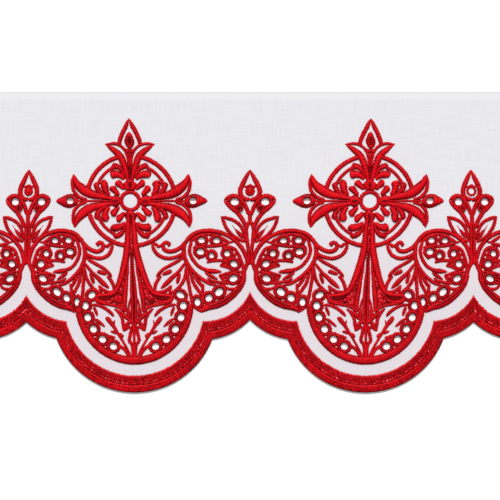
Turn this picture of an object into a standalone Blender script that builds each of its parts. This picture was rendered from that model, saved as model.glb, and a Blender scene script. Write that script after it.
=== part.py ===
"""Altar cloth: a white linen front drop with a red machine-embroidered scalloped border.

The cloth lies flat and face up, its underside on Z = 0, its length along X and its
scalloped lower edge towards -Y. Two units repeat along it. A unit is a cross flory in
rings, standing on a splayed foot in a bowl, with a scroll and an openwork roundel on
each side, and a fleuron stands between units. Lengths in the tables are millimetres.
"""

import math

import bmesh
import bpy
import numpy as np
from mathutils import Matrix, Vector, geometry

MM = 0.001

# Driving dimensions of the cloth.
CLOTH_LENGTH = 412.8
TOP_EDGE_Y = 120.4
CROSS_Y = 33.0
LINEN_THICKNESS = 1.2
THREAD_GAP = 0.3
THREAD_HEIGHT = 1.0
RIM_HEIGHT = 1.5
UNIT_X = -95.8
FLEURON_X = 0.0
END_FLEURON_X = -178.9

# How far a stroke may stray from its smooth course, and other sizes of the facets.
TOLERANCE = 0.72
RING_TOLERANCE = 0.12
SMOOTH_STEPS = 8
ARC_STEP = math.radians(12)
EYELET_SIDES = 7
EYELET_RIM = 1.8
CAP_SIDES = 8
SNAP = 0.001

# The units stand a little askew: (height above the cross, sideways shift towards the middle).
LEAN = ((-152.8, 3.4), (-80.8, 3.0), (-39.2, 1.0), (0.0, 0.0), (65.6, -1.0))
# Width of each motif on a unit's outer side, as a share of its width on the inner side.
OUTER_CROSS = 0.96
OUTER_ROUNDEL = 0.895
END_FLEURON_WIDTH = 0.86
END_FLEURON_LEAN = 0.024

# Scallops of the border, from the big one under a unit to the small ones beside it.
# Each row: radius of the big scallop, its centre's height, radius of the small ones,
# their centres' height, and the centres' X on the unit's inner and outer side.
BORDER_INNER = (55.9, -83.7, 39.2, -56.8, -36.0, -144.2)
BORDER_GROOVE = (62.3, -85.3, 46.6, -58.2, -36.8, -143.7)
BORDER_OUTER = (66.8, -86.6, 52.0, -59.2, -37.6, -143.2)
BIG_SCALLOP_X = -92.4

# Strokes of the embroidery. Each is a smooth line through (x, y, width), with x from the
# axis of its motif and y from the centre of the cross. Side strokes are mirrored.
CROSS_AXIS = (
    ((0, 54.8, 0), (0, 51.4, 5.0), (0, 48, 7.4), (0, 44.6, 5.6), (0, 41.0, 2.0)),
    ((0, 41.6, 2.0), (0, 31, 2.6), (0, 25, 4.4), (0, 19, 4.8), (0, 7.0, 3.6)),
    ((0, -7.4, 5.0), (0, -12.6, 8.4), (0, -17.2, 7.0)),
)
CROSS_SIDE = (
    ((0, 65.4, 1.0), (2.5, 60.2, 2.4), (5.5, 54.4, 2.4), (7.9, 48.8, 2.4), (8.6, 44.4, 1.8)),
    ((1.8, 8.0, 3.0), (2.4, 16.8, 2.0), (3.8, 24.8, 2.8), (5.8, 32.6, 3.8), (9.2, 38.2, 4.2),
     (13.2, 41.6, 3.4), (17.0, 44.0, 1.8), (19.3, 45.2, 0)),
    ((1.0, 27.2, 1.8), (1.6, 32.8, 1.8), (3.4, 38.4, 1.8), (6.2, 42.0, 1.8), (10, 44.4, 1.8),
     (14, 45.2, 1.8), (19.0, 45.2, 0.8)),
)
CROSS_ARM = (
    ((7.4, 0, 5.0), (12.2, 0, 9.0), (16.8, 0, 3.0)),
    ((14.0, 1.4, 2.4), (23.8, 3.0, 3.4), (31, 4.6, 5.0), (37.4, 7.8, 7.2), (42.2, 11.4, 6.2),
     (45.0, 16.0, 3.4), (46.6, 20.4, 0)),
    ((46.6, 20.4, 0.8), (47.8, 14.4, 1.8), (47.2, 9.0, 1.8), (45.0, 5.4, 1.8), (41.6, 2.6, 1.8),
     (36.0, 0.9, 1.4)),
    ((16, 0, 1.4), (44, 0, 1.8)),
    ((42, 0, 3.6), (45.4, 0, 7.4), (49.4, 0, 10), (53.4, 0, 9.0), (57.6, 0, 5.0), (61.4, 0, 0)),
)
CROSS_EYELETS = ((50.2, 0, 3.2, 2.7, 0),)
QUADRANT = (
    ((3.4, 13.6, 2.4), (7.8, 20.2, 2.6), (11.6, 22.4, 3.4), (15.0, 21.6, 4.0), (15.4, 18.0, 1.6)),
    ((3.4, 8.6, 2.4), (10.4, 14.0, 4.6), (12.2, 14.6, 2.4)),
)
# Rings round the cross: radius above the cross, radius below it, width, first and last angle.
CROSS_RINGS = ((36.9, 36.0, 2.6, 15, 84), (29.4, 29.4, 1.7, 26, 64))
HUB_RADIUS = 7.2
HUB_WIDTH = 2.1

FOOT_AXIS = (
    ((0, -14, 2.4), (0, -50, 2.6), (0, -79, 4.4), (0, -90, 4.4), (0, -100, 3.0), (0, -108, 1.8)),
)
FOOT_SIDE = (
    ((1.7, -14.4, 1.6), (2.7, -31.2, 3.2), (3.4, -39.2, 4.0), (4.7, -47.2, 4.6), (6.3, -55.2, 5.0),
     (8.3, -63.2, 5.4), (10.2, -69.0, 7.0), (11.0, -75.0, 8.0), (9.4, -81.0, 6.6), (7.2, -87.6, 2.0)),
    ((8.0, -75.0, 9.0), (12.0, -75.6, 13.0), (14.8, -76.2, 13.6), (18.0, -77.6, 10.4), (22.6, -78.2, 7.2),
     (27.4, -77.6, 4.6), (30.6, -77.2, 1.6)),
)

# The bowl: half width and depth of its cord, the cord's width at the rim and at the bottom.
BOWL_CENTRE = (0.2, -80.8)
BOWL_HALF_WIDTH = 45.0
BOWL_DEPTH = 46.9
BOWL_CORD = (4.0, 5.4)
BOWL_SIDE = (
    ((0.8, -127.4, 1.8), (1.0, -119.0, 1.8), (1.8, -114.8, 1.8), (3.8, -111.8, 1.8), (3.2, -107.6, 1.8),
     (2.4, -103.4, 1.8), (3.0, -99.6, 1.4)),
    ((5.8, -102.0, 0.8), (8.8, -98.6, 1.8), (9.6, -93.6, 1.8), (12.2, -89.0, 1.8), (15.8, -85.8, 1.2),
     (16.2, -92.6, 0.8)),
    ((16.2, -92.6, 0.8), (18.6, -89.6, 1.8), (22.6, -86.4, 1.8), (28, -84.0, 1.8), (35.0, -83.6, 1.4)),
    ((3.0, -126.8, 1.8), (7.6, -119.4, 1.8), (12.4, -116.0, 1.8), (16.4, -112.8, 1.8),
     (20.8, -111.0, 1.4)),
    ((1.8, -126.8, 1.8), (6.6, -115.8, 1.8), (11.4, -108.6, 1.8), (14.8, -103.0, 2.4), (17.2, -98.6, 2.8),
     (22.8, -92.2, 0.6)),
)
BOWL_EYELET_RADIUS = 39.3
BOWL_EYELET_ANGLES = (-4.2, -18.2, -33.4, -49.4, -64.6)
BOWL_EYELET_SIZE = (3.3, 3.0)
BOWL_EYELET_BAND = 9.8

SCROLL = (
    ((44.4, -32.0, 2.4), (40.2, -36.6, 2.4), (35.0, -39.6, 2.4), (30.2, -40.4, 2.4), (26.6, -39.0, 2.4),
     (25.2, -36.2, 2.2), (26.2, -34.2, 2.0), (28.6, -33.6, 2.4), (29.2, -35.6, 2.0)),
    ((16.5, -33.8, 1.2), (21.7, -36.4, 1.6), (25.0, -35.0, 1.2)),
    ((16.5, -33.6, 0.8), (17.8, -38.4, 1.8), (20.1, -42.2, 2.0), (23.8, -44.8, 2.0), (28.9, -46.0, 2.0),
     (34.5, -45.2, 2.0), (39.4, -43.2, 2.0), (42.4, -40.6, 1.6)),
    ((42.4, -43.2, 1.6), (37.2, -47.8, 1.8), (30.6, -51.4, 1.8), (24.9, -54.6, 1.8), (21.5, -57.8, 1.8),
     (18.6, -61.0, 0.8)),
    ((18.6, -61.0, 0.8), (22.8, -59.8, 1.6)),
    ((22.8, -59.8, 1.4), (19.8, -63.4, 1.8), (17.6, -68.0, 1.8), (16.8, -73.2, 1.4)),
    ((16.6, -73.0, 1.4), (22.8, -72.8, 1.8), (27.5, -70.8, 1.8), (30.8, -67.4, 0.8)),
    ((30.8, -67.4, 0.8), (28.9, -74.4, 1.2)),
    ((28.9, -74.2, 1.2), (33.8, -71.6, 1.8), (38.6, -66.8, 1.8), (41.8, -60.8, 1.8), (43.4, -53.6, 1.8),
     (45.6, -50.4, 1.6)),
    ((44.4, -48.0, 1.6), (36.7, -57.0, 1.8), (31.7, -61.4, 2.4), (26.8, -65.8, 2.8), (21.7, -70.2, 0.6)),
    ((36.0, -68.4, 2.4), (36.6, -71.6, 2.4)),
)
SCROLL_EYELETS = ((37.4, -75.2, 2.7, 3.7, 60),)

ROUNDEL = (
    ((43.2, -33.0, 2.4), (49.2, -27.0, 2.4), (55.4, -24.6, 2.4), (61.6, -23.8, 2.4), (68.0, -24.4, 2.4),
     (74.0, -26.2, 2.4), (80.0, -29.2, 2.4), (84.6, -33.0, 2.4), (88.5, -38.0, 2.4), (91.0, -43.6, 2.4),
     (92.2, -48.6, 2.2), (90.8, -53.0, 2.2), (89.1, -56.8, 2.6), (88.3, -63.0, 3.4), (84.9, -69.2, 4.2),
     (79.8, -74.6, 4.6), (73.3, -79.6, 5.0), (66.2, -83.0, 5.0), (59.2, -84.8, 4.6), (53.6, -87.6, 2.6)),
    ((78.0, -36.8, 1.4), (82.4, -39.6, 1.8), (86.2, -45.0, 1.8), (88.6, -51.2, 1.8), (89.5, -56.8, 1.6)),
    ((44.6, -32.6, 1.8), (50.0, -32.0, 5.2), (55.6, -31.4, 9.6), (62.0, -31.4, 11.2), (68.4, -31.8, 9.6),
     (74.0, -32.4, 5.6), (82.4, -32.6, 1.4)),
    ((52.0, -36.4, 3.6), (54.8, -40.4, 8.8), (60.0, -42.8, 6.4), (64.0, -43.8, 7.6), (70.0, -43.4, 5.2),
     (76.3, -42.0, 8.6), (81.4, -40.0, 3.6)),
    ((85.6, -44.6, 4.0), (81.8, -50.4, 9.0), (81.6, -56.4, 6.0), (80.2, -62.0, 9.6), (75.2, -68.6, 7.0),
     (68.4, -72.8, 10.0), (60.1, -77.6, 9.2), (50.8, -80.8, 8.8), (46.4, -81.6, 3.0)),
    ((48.0, -32.6, 1.6), (46.4, -39.2, 1.8), (47.3, -44.0, 1.8), (49.8, -48.6, 1.8), (53.6, -52.6, 1.8),
     (59.0, -55.2, 2.0), (64.5, -56.2, 2.8), (71.5, -56.8, 0.6)),
    ((43.0, -32.4, 2.0), (41.8, -39.2, 2.4), (42.1, -44.8, 2.4), (44.1, -50.2, 2.4), (47.1, -55.0, 2.4),
     (51.8, -59.8, 2.2), (57.2, -63.8, 2.0), (66.8, -67.4, 0.8)),
    ((80.0, -47.0, 4.0), (76.0, -51.0, 4.6), (70.0, -52.8, 0.8)),
    ((80.0, -60.0, 4.0), (75.6, -60.8, 4.6), (68.8, -59.4, 0.8)),
    ((55.8, -63.0, 1.6), (55.4, -80.0, 1.8)),
    ((44.6, -51.0, 1.4), (43.8, -60.0, 1.8), (44.7, -68.0, 1.8), (45.8, -76.0, 1.8), (47.4, -83.2, 1.8),
     (51.2, -86.6, 1.8), (55.0, -89.4, 0.8)),
    ((46.3, -54.8, 1.6), (47.8, -64.0, 1.8), (51.1, -70.4, 1.8), (55.8, -77.0, 1.4)),
)
# Eyelets: centre, half length, half width and tilt in degrees.
ROUNDEL_EYELETS = (
    (56.2, -31.4, 3.1, 2.4, 0),
    (68.2, -31.6, 3.1, 2.3, 0),
    (55.1, -40.6, 3.3, 2.6, 0),
    (63.8, -43.6, 2.3, 2.3, 0),
    (76.3, -42.0, 2.6, 2.6, 0),
    (81.5, -50.4, 3.2, 2.7, -20),
    (80.5, -62.0, 3.8, 2.7, 20),
    (68.4, -72.8, 4.0, 3.0, 40),
    (60.1, -77.6, 3.4, 2.9, 40),
    (50.8, -80.8, 2.6, 3.4, 0),
)

FLEURON_AXIS = (
    ((0, 12.4, 2.6), (0, 8, 8.0), (0, 4.0, 2.6)),
    ((0, 5.0, 2.0), (0, -1.0, 2.0)),
    ((0, -1.0, 1.4), (0, -7.2, 1.8), (0, -11.6, 2.2), (0, -16.8, 1.8)),
)
FLEURON_SIDE = (
    ((0, 24.2, 1.0), (-3.6, 17.4, 2.4), (-6.2, 12.0, 2.4), (-7.4, 8.0, 2.4), (-6.8, 4.6, 2.4),
     (-4.2, 2.4, 2.4), (0, 1.6, 2.4)),
    ((-20.2, 0.8, 1.0), (-17.0, 3.0, 2.2), (-12.6, 4.0, 2.4), (-8.2, 2.2, 2.4), (-5.0, -1.6, 2.4),
     (-2.8, -5.8, 2.4), (-0.8, -11.2, 2.0)),
    ((-20.2, 0.8, 1.0), (-18.0, -2.4, 2.0), (-14.4, -5.8, 2.4), (-10.6, -8.8, 2.4), (-7.4, -12.8, 2.4),
     (-5.0, -16.8, 2.4), (-3.0, -21.6, 2.2)),
    ((-18.4, 0.4, 3.0), (-12.6, -0.6, 9.6), (-8.6, -4.6, 7.4), (-4.6, -8.0, 2.8)),
    ((0, -15.6, 1.6), (-3.0, -22.4, 2.2), (-2.4, -31.2, 2.2), (-1.4, -39.2, 1.8), (-0.8, -50.8, 1.8)),
    ((-22.8, -12.6, 0.8), (-19.0, -13.6, 1.8), (-13.4, -15.4, 1.8), (-8.8, -18.6, 1.8),
     (-5.8, -23.2, 1.8), (-3.6, -31.2, 1.6)),
    ((-22.8, -12.6, 0.8), (-21.4, -15.8, 1.6), (-19.8, -20.0, 1.8), (-17.2, -24.0, 1.8),
     (-13.0, -28.2, 1.8)),
    ((-14.2, -19.6, 0.8), (-10.2, -24.0, 2.6), (-4.4, -30.2, 1.6)),
)
FLEURON_EYELETS = ((-12.2, -0.6, 3.7, 3.1, 0),)


def clear_scene():
    """Remove whatever the scene holds."""
    for obj in list(bpy.data.objects):
        bpy.data.objects.remove(obj, do_unlink=True)


def material(name, colour, roughness):
    """A plain thread or linen material."""
    made = bpy.data.materials.new(name)
    made.use_nodes = True
    shader = made.node_tree.nodes["Principled BSDF"]
    shader.inputs["Base Color"].default_value = (*colour, 1.0)
    shader.inputs["Roughness"].default_value = roughness
    shader.inputs["Metallic"].default_value = 0.0
    return made


def blend(t, p, q, r, s):
    """The number a share t of the way from q to r, on a smooth course from p to s."""
    bend = 2 * p - 5 * q + 4 * r - s
    twist = 3 * q - p - 3 * r + s
    return (2 * q + (r - p) * t + bend * t**2 + twist * t**3) / 2


def smooth_line(points):
    """A Catmull-Rom curve through the points, each a tuple of numbers."""
    if len(points) == 2:
        return [tuple(point) for point in points]
    first = tuple(2 * a - b for a, b in zip(points[0], points[1]))
    last = tuple(2 * a - b for a, b in zip(points[-1], points[-2]))
    guide = [first, *points, last]
    line = []
    for four in zip(guide, guide[1:], guide[2:], guide[3:]):
        for step in range(SMOOTH_STEPS):
            t = step / SMOOTH_STEPS
            line.append(tuple(blend(t, *numbers) for numbers in zip(*four)))
    line.append(tuple(points[-1]))
    return line


def thin_out(line, tolerance):
    """Keep the points, each a tuple of lengths, that hold a line to its course within the tolerance."""
    first = Vector(line[0])
    chord = Vector(line[-1]) - first
    offsets = []
    for point in line:
        to_point = Vector(point) - first
        along = to_point.dot(chord) / chord.length_squared if chord.length else 0.0
        offsets.append((to_point - min(max(along, 0.0), 1.0) * chord).length)
    far = offsets.index(max(offsets))
    if offsets[far] < tolerance:
        return [line[0], line[-1]]
    return thin_out(line[: far + 1], tolerance)[:-1] + thin_out(line[far:], tolerance)


def thin_ring(ring):
    """A closed ring without the points that its course doesn't need."""
    far = max(range(len(ring)), key=lambda index: (ring[index] - ring[0]).length)
    there = thin_out(ring[: far + 1], RING_TOLERANCE)
    back = thin_out([*ring[far:], ring[0]], RING_TOLERANCE)
    return [*there[:-1], *back[:-1]]


def inside(ring, x, y):
    """Which of the places (x, y) lie inside a ring of points."""
    odd = np.zeros(len(x), bool)
    for a, b in zip(ring, [*ring[1:], ring[0]]):
        if a.y == b.y:
            continue
        spans = (a.y > y) != (b.y > y)
        odd ^= spans & (x < a.x + (b.x - a.x) * (y - a.y) / (b.y - a.y))
    return odd


def covered(rings, x, y):
    """Which of the places (x, y) lie inside at least one ring."""
    return np.any([inside(ring, x, y) for ring in rings], axis=0) if rings else np.zeros(len(x), bool)


def stroke_faces(line, grow=0.0):
    """The outline of a line of (x, y, width), as two triangles for each step along it."""
    sides = []
    for index, (x, y, width) in enumerate(line):
        before = line[max(index - 1, 0)]
        after = line[min(index + 1, len(line) - 1)]
        along = Vector((after[0] - before[0], after[1] - before[1])).normalized()
        across = Vector((-along.y, along.x)) * (max(width, 0.12) / 2 + grow)
        sides.append((Vector((x, y)) + across, Vector((x, y)) - across))
    faces = []
    for (a, b), (c, d) in zip(sides, sides[1:]):
        faces += [(a, b, d), (a, d, c)]
    return faces


def ellipse(x, y, half_length, half_width, tilt, sides=EYELET_SIDES):
    """An ellipse as a ring of points."""
    ring = []
    for index in range(sides):
        angle = math.tau * (index + 0.5) / sides
        spoke = Vector((half_length * math.cos(angle), half_width * math.sin(angle)))
        spoke.rotate(Matrix.Rotation(math.radians(tilt), 2))
        ring.append(Vector((x, y)) + spoke)
    return ring


def interpolate(table, value):
    """Read a table of (place, amount) rows at a place between them."""
    for (low, at_low), (high, at_high) in zip(table, table[1:]):
        if value <= high:
            share = max(0.0, (value - low) / (high - low))
            return at_low + share * (at_high - at_low)
    return table[-1][1]


def unit_place(side, outer_width):
    """Where a point of a unit's drawing lies on the cloth's left half; side is 1 for its inner half."""
    width = 1.0 if side > 0 else outer_width

    def place(x, y):
        return Vector((UNIT_X + interpolate(LEAN, y) + side * width * x, y))

    return place


def fleuron_place(centre, width, lean, side):
    """Where a point of a fleuron's drawing lies."""

    def place(x, y):
        return Vector((centre + side * width * x + lean * y, y))

    return place


class Motif:
    """The strokes and eyelets of one embroidered motif, placed on the cloth."""

    def __init__(self, name):
        self.name = name
        self.lines = []
        self.holes = []

    def stroke(self, points, place):
        line = thin_out(smooth_line(points), TOLERANCE)
        self.lines.append([(*place(x, y), width) for x, y, width in line])

    def eyelet(self, hole, place, rim=True):
        x, y, half_length, half_width, tilt = hole
        ring = ellipse(x, y, half_length, half_width, tilt)
        self.holes.append([place(*point) for point in ring])
        if rim:
            cord = ellipse(x, y, half_length + EYELET_RIM / 2, half_width + EYELET_RIM / 2, tilt)
            self.lines.append([(*place(*point), EYELET_RIM) for point in [*cord, cord[0]]])

    def mirrored(self, name, about=0.0):
        """The same motif turned over about the line x = about."""
        twin = Motif(name)
        twin.lines = [[(2 * about - x, y, width) for x, y, width in line] for line in self.lines]
        twin.holes = [[Vector((2 * about - p.x, p.y)) for p in hole] for hole in self.holes]
        return twin

    def faces(self, grow=0.0):
        """Every stroke's triangles; with grow, also a cap on each end, to keep a neighbour's gap there."""
        found = []
        for line in self.lines:
            found += stroke_faces(line, grow)
            if grow:
                for x, y, width in (line[0], line[-1]):
                    reach = max(width, 0.12) / 2 + grow
                    found.append(ellipse(x, y, reach, reach, 0, CAP_SIDES))
        return found


def cross_motif():
    """The cross flory, its hub, its rings and the ornaments of its quadrants."""
    motif = Motif("cross_left")
    for side in (1, -1):
        place = unit_place(side, OUTER_CROSS)
        for points in CROSS_SIDE + CROSS_ARM:
            motif.stroke(points, place)
        for points in CROSS_ARM[1:3]:
            motif.stroke([(x, -y, width) for x, y, width in points], place)
        for points in QUADRANT:
            for up in (1, -1):
                motif.stroke([(x, up * y, width) for x, y, width in points], place)
                motif.stroke([(y, up * x, width) for x, y, width in points], place)
        for above, below, width, first, last in CROSS_RINGS:
            motif.stroke(arc(0, 0, above, above, width, width, first, last), place)
            motif.stroke(arc(0, 0, below, below, width, width, -first, -last), place)
        for hole in CROSS_EYELETS:
            motif.eyelet(hole, place, rim=False)
    place = unit_place(1, 1)
    motif.stroke(arc(0, 0, HUB_RADIUS, HUB_RADIUS, HUB_WIDTH, HUB_WIDTH, 0, 360), place)
    for points in CROSS_AXIS:
        motif.stroke(points, place)
    return motif


def arc(x, y, half_width, half_height, first_width, last_width, first, last):
    """Points along an elliptical arc, in degrees, with a width that changes evenly."""
    count = max(3, round(abs(last - first) / 12))
    points = []
    for index in range(count + 1):
        share = index / count
        angle = math.radians(first + share * (last - first))
        width = first_width + share * (last_width - first_width)
        points.append((x + half_width * math.cos(angle), y + half_height * math.sin(angle), width))
    return points


def foot_motif():
    """The shaft with its spear and its two splayed feet."""
    motif = Motif("foot_left")
    for side in (1, -1):
        for points in FOOT_SIDE:
            motif.stroke(points, unit_place(side, 1))
    for points in FOOT_AXIS:
        motif.stroke(points, unit_place(1, 1))
    return motif


def bowl_motif():
    """The round bowl under the foot, with its leaves and the eyelets along its wall."""
    motif = Motif("bowl_left")
    x, y = BOWL_CENTRE
    for side in (1, -1):
        place = unit_place(side, 1)
        motif.stroke(arc(x * side, y, BOWL_HALF_WIDTH, BOWL_DEPTH, *BOWL_CORD, -2, -91), place)
        row = (BOWL_EYELET_RADIUS, BOWL_EYELET_RADIUS, BOWL_EYELET_BAND, BOWL_EYELET_BAND, 1, -73)
        motif.stroke(arc(x * side, y, *row), place)
        for points in BOWL_SIDE:
            motif.stroke(points, place)
        for angle in BOWL_EYELET_ANGLES:
            turn = math.radians(angle)
            hole_x = x * side + BOWL_EYELET_RADIUS * math.cos(turn)
            hole_y = y + BOWL_EYELET_RADIUS * math.sin(turn)
            motif.eyelet((hole_x, hole_y, *BOWL_EYELET_SIZE, angle + 90), place, rim=False)
    return motif


def roundel_motif(name, side):
    """A scroll with its leaf, and the openwork roundel beside it."""
    motif = Motif(name)
    place = unit_place(side, OUTER_ROUNDEL)
    for points in ROUNDEL + SCROLL:
        motif.stroke(points, place)
    for hole in ROUNDEL_EYELETS:
        motif.eyelet(hole, place, rim=False)
    for hole in SCROLL_EYELETS:
        motif.eyelet(hole, place)
    return motif


def fleuron_motif(name, centre, width, lean):
    """The fleuron that stands between two units."""
    motif = Motif(name)
    for side in (1, -1):
        place = fleuron_place(centre, width, lean, side)
        for points in FLEURON_SIDE:
            motif.stroke(points, place)
        for hole in FLEURON_EYELETS:
            motif.eyelet(hole, place, rim=False)
    for points in FLEURON_AXIS:
        motif.stroke(points, fleuron_place(centre, width, lean, 1))
    return motif


def meeting(first, second):
    """The lower point where two circles (x, y, radius) cross."""
    ax, ay, a_radius = first
    bx, by, b_radius = second
    gap = math.hypot(bx - ax, by - ay)
    along = (a_radius**2 - b_radius**2 + gap**2) / (2 * gap)
    off = math.sqrt(a_radius**2 - along**2)
    ux, uy = (bx - ax) / gap, (by - ay) / gap
    x, y = ax + along * ux, ay + along * uy
    return min((x - off * uy, y + off * ux), (x + off * uy, y - off * ux), key=lambda point: point[1])


def scallop_line(row, gap=0.0):
    """One line of the scalloped border from the left cut end to the right one, its radii less a gap."""
    big_radius, big_y, small_radius, small_y, inner_x, outer_x = row
    left = [
        (2 * END_FLEURON_X - outer_x, small_y, small_radius - gap),
        (outer_x, small_y, small_radius - gap),
        (BIG_SCALLOP_X, big_y, big_radius - gap),
        (inner_x, small_y, small_radius - gap),
    ]
    circles = left + [(-x, y, radius) for x, y, radius in reversed(left)]
    end = CLOTH_LENGTH / 2
    x, y, radius = circles[0]
    corners = [(-end, y - math.sqrt(radius**2 - (end + x) ** 2))]
    corners += [meeting(a, b) for a, b in zip(circles, circles[1:])]
    corners.append((end, corners[0][1]))
    line = []
    for (x, y, radius), start, stop in zip(circles, corners, corners[1:]):
        first = math.atan2(start[1] - y, start[0] - x) % math.tau
        last = math.atan2(stop[1] - y, stop[0] - x) % math.tau
        count = max(2, round((last - first) / ARC_STEP))
        for step in range(count):
            angle = first + (last - first) * step / count
            line.append(Vector((x + radius * math.cos(angle), y + radius * math.sin(angle))))
    line.append(Vector(corners[-1]))
    return line


def triangles_within(rings, wanted):
    """A flat mesh of the triangles between the rings' edges whose middles are wanted."""
    points = []
    edges = []
    for ring in rings:
        first = len(points)
        points += ring
        edges += [(first + step, first + (step + 1) % len(ring)) for step in range(len(ring))]
    vertices, _, triangles, _, _, _ = geometry.delaunay_2d_cdt(points, edges, [], 0, SNAP)
    corners = np.array([(point.x, point.y) for point in vertices])[np.array(triangles)]
    flat = bmesh.new()
    made = [flat.verts.new((point.x, point.y, 0.0)) for point in vertices]
    for triangle, keep in zip(triangles, wanted(*corners.mean(axis=1).T)):
        if keep:
            flat.faces.new([made[index] for index in triangle])
    return flat


def outlines(flat):
    """The boundary of a flat mesh, as closed rings without the points they don't need."""
    left = dict.fromkeys(edge for edge in flat.edges if edge.is_boundary)
    rings = []
    while left:
        edge = next(iter(left))
        del left[edge]
        first, here = edge.verts
        ring = [first.co.xy, here.co.xy]
        while True:
            edge = next(other for other in here.link_edges if other in left)
            del left[edge]
            here = edge.other_vert(here)
            if here is first:
                break
            ring.append(here.co.xy)
        thinned = thin_ring(ring)
        if len(thinned) > 2:
            rings.append(thinned)
    return rings


def plan(added, removed):
    """The added rings together, less the removed ones: the largest piece that hangs together."""

    def in_plan(x, y):
        return covered(added, x, y) & ~covered(removed, x, y)

    def in_rings(x, y):
        return np.logical_xor.reduce([inside(ring, x, y) for ring in rings])

    rough = triangles_within([*added, *removed], in_plan)
    keep_largest(rough)
    open_pinches(rough)
    rings = outlines(rough)
    rough.free()
    flat = triangles_within(rings, in_rings)
    keep_largest(flat)
    open_pinches(flat)
    return flat


def keep_largest(flat):
    """Delete all but the largest set of faces that share edges, and the loose points."""
    left = dict.fromkeys(flat.faces)
    groups = []
    while left:
        todo = [left.popitem()[0]]
        group = []
        while todo:
            face = todo.pop()
            group.append(face)
            for edge in face.edges:
                for other in edge.link_faces:
                    if other in left:
                        del left[other]
                        todo.append(other)
        groups.append(group)
    groups.sort(key=lambda group: sum(face.calc_area() for face in group))
    lost = [face for group in groups[:-1] for face in group]
    bmesh.ops.delete(flat, geom=lost, context="FACES")
    bmesh.ops.delete(flat, geom=[vert for vert in flat.verts if not vert.link_faces], context="VERTS")


def open_pinches(flat):
    """Take away the faces at a point where two parts of a plan touch only at their corners."""
    for _ in range(4):
        pinched = [vert for vert in flat.verts if sum(edge.is_boundary for edge in vert.link_edges) > 2]
        if not pinched:
            return
        smallest = [min(vert.link_faces, key=lambda face: face.calc_area()) for vert in pinched]
        bmesh.ops.delete(flat, geom=list(dict.fromkeys(smallest)), context="FACES")
        keep_largest(flat)


def solid(name, flat, low, high, finish):
    """Raise a flat plan into a solid between two heights, with its own material."""
    bmesh.ops.translate(flat, vec=(0, CROSS_Y, low), verts=flat.verts)
    raised = bmesh.ops.extrude_face_region(flat, geom=flat.faces[:], use_keep_orig=True)
    moved = [item for item in raised["geom"] if isinstance(item, bmesh.types.BMVert)]
    bmesh.ops.translate(flat, vec=(0, 0, high - low), verts=moved)
    bmesh.ops.recalc_face_normals(flat, faces=flat.faces)
    bmesh.ops.scale(flat, vec=(MM, MM, MM), verts=flat.verts)
    mesh = bpy.data.meshes.new(name)
    flat.to_mesh(mesh)
    flat.free()
    mesh.materials.append(finish)
    obj = bpy.data.objects.new(name, mesh)
    bpy.context.scene.collection.objects.link(obj)
    return obj


def beyond_ends():
    """Two faces that cover what lies past the cloth's cut ends."""
    end = CLOTH_LENGTH / 2
    far = end + 100
    reach = 200
    right = [Vector((end, -reach)), Vector((far, -reach)), Vector((far, reach)), Vector((end, reach))]
    left = [Vector((-point.x, point.y)) for point in reversed(right)]
    return [left, right]


def between(first, second):
    """One face between two lines that run side by side."""
    return [*first, *reversed(second)]


def main():
    clear_scene()
    linen = material("woven_linen", (0.80, 0.80, 0.84), 0.85)
    thread = material("red_thread", (0.50, 0.005, 0.012), 0.45)

    cross = cross_motif()
    foot = foot_motif()
    bowl = bowl_motif()
    inner = roundel_motif("roundel_left_inner", 1)
    outer = roundel_motif("roundel_left_outer", -1)
    far = outer.mirrored("roundel_left_end", END_FLEURON_X)
    middle = fleuron_motif("fleuron_middle", FLEURON_X, 1.0, 0.0)
    end = fleuron_motif("fleuron_left", END_FLEURON_X + 1.6, END_FLEURON_WIDTH, END_FLEURON_LEAN)

    groups = [
        (cross, ()),
        (foot, (cross,)),
        (bowl, (cross, foot)),
        (inner, (cross, foot, bowl)),
        (outer, (cross, foot, bowl)),
        (far, (outer,)),
        (end, (outer, far)),
    ]
    twins = {motif.name: motif.mirrored(motif.name.replace("left", "right")) for motif, _ in groups}
    for motif, others in groups[:]:
        groups.append((twins[motif.name], tuple(twins[other.name] for other in others)))
    groups.append((middle, (inner, twins[inner.name])))

    ends = beyond_ends()
    low = LINEN_THICKNESS + THREAD_GAP
    every_hole = []
    for motif, neighbours in groups:
        holes = motif.holes + [hole for other in neighbours for hole in other.holes]
        grown = [face for other in neighbours for face in other.faces(THREAD_GAP)]
        solid(motif.name, plan(motif.faces(), grown + holes + ends), low, low + THREAD_HEIGHT, thread)
        every_hole += motif.holes

    edge = scallop_line(BORDER_OUTER)
    fill = between(scallop_line(BORDER_INNER), scallop_line(BORDER_GROOVE, THREAD_GAP))
    solid("border_fill", plan([fill], []), low, low + THREAD_HEIGHT, thread)
    rim = between(scallop_line(BORDER_GROOVE), edge)
    solid("border_rim", plan([rim], []), low, low + RIM_HEIGHT, thread)

    half = CLOTH_LENGTH / 2
    top = TOP_EDGE_Y - CROSS_Y
    outline = [*edge, Vector((half, top)), Vector((-half, top))]
    solid("linen_ground", plan([outline], every_hole + ends), 0, LINEN_THICKNESS, linen)


main()
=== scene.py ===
"""Altar cloth seen from straight above: a white linen band whose scalloped lower edge carries
red satin stitch. Lengths are millimetres until a mesh or an object is made. On the cloth X runs
along its length, Y towards its straight upper edge, and Z up from its underside.
"""

import logging
import math
from dataclasses import dataclass, field
from enum import Enum
from typing import Any, ClassVar

import bpy
import numpy as np
from bpy.types import Material, Node, NodeSocket, NodeTree, Object
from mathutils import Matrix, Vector, geometry


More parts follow.
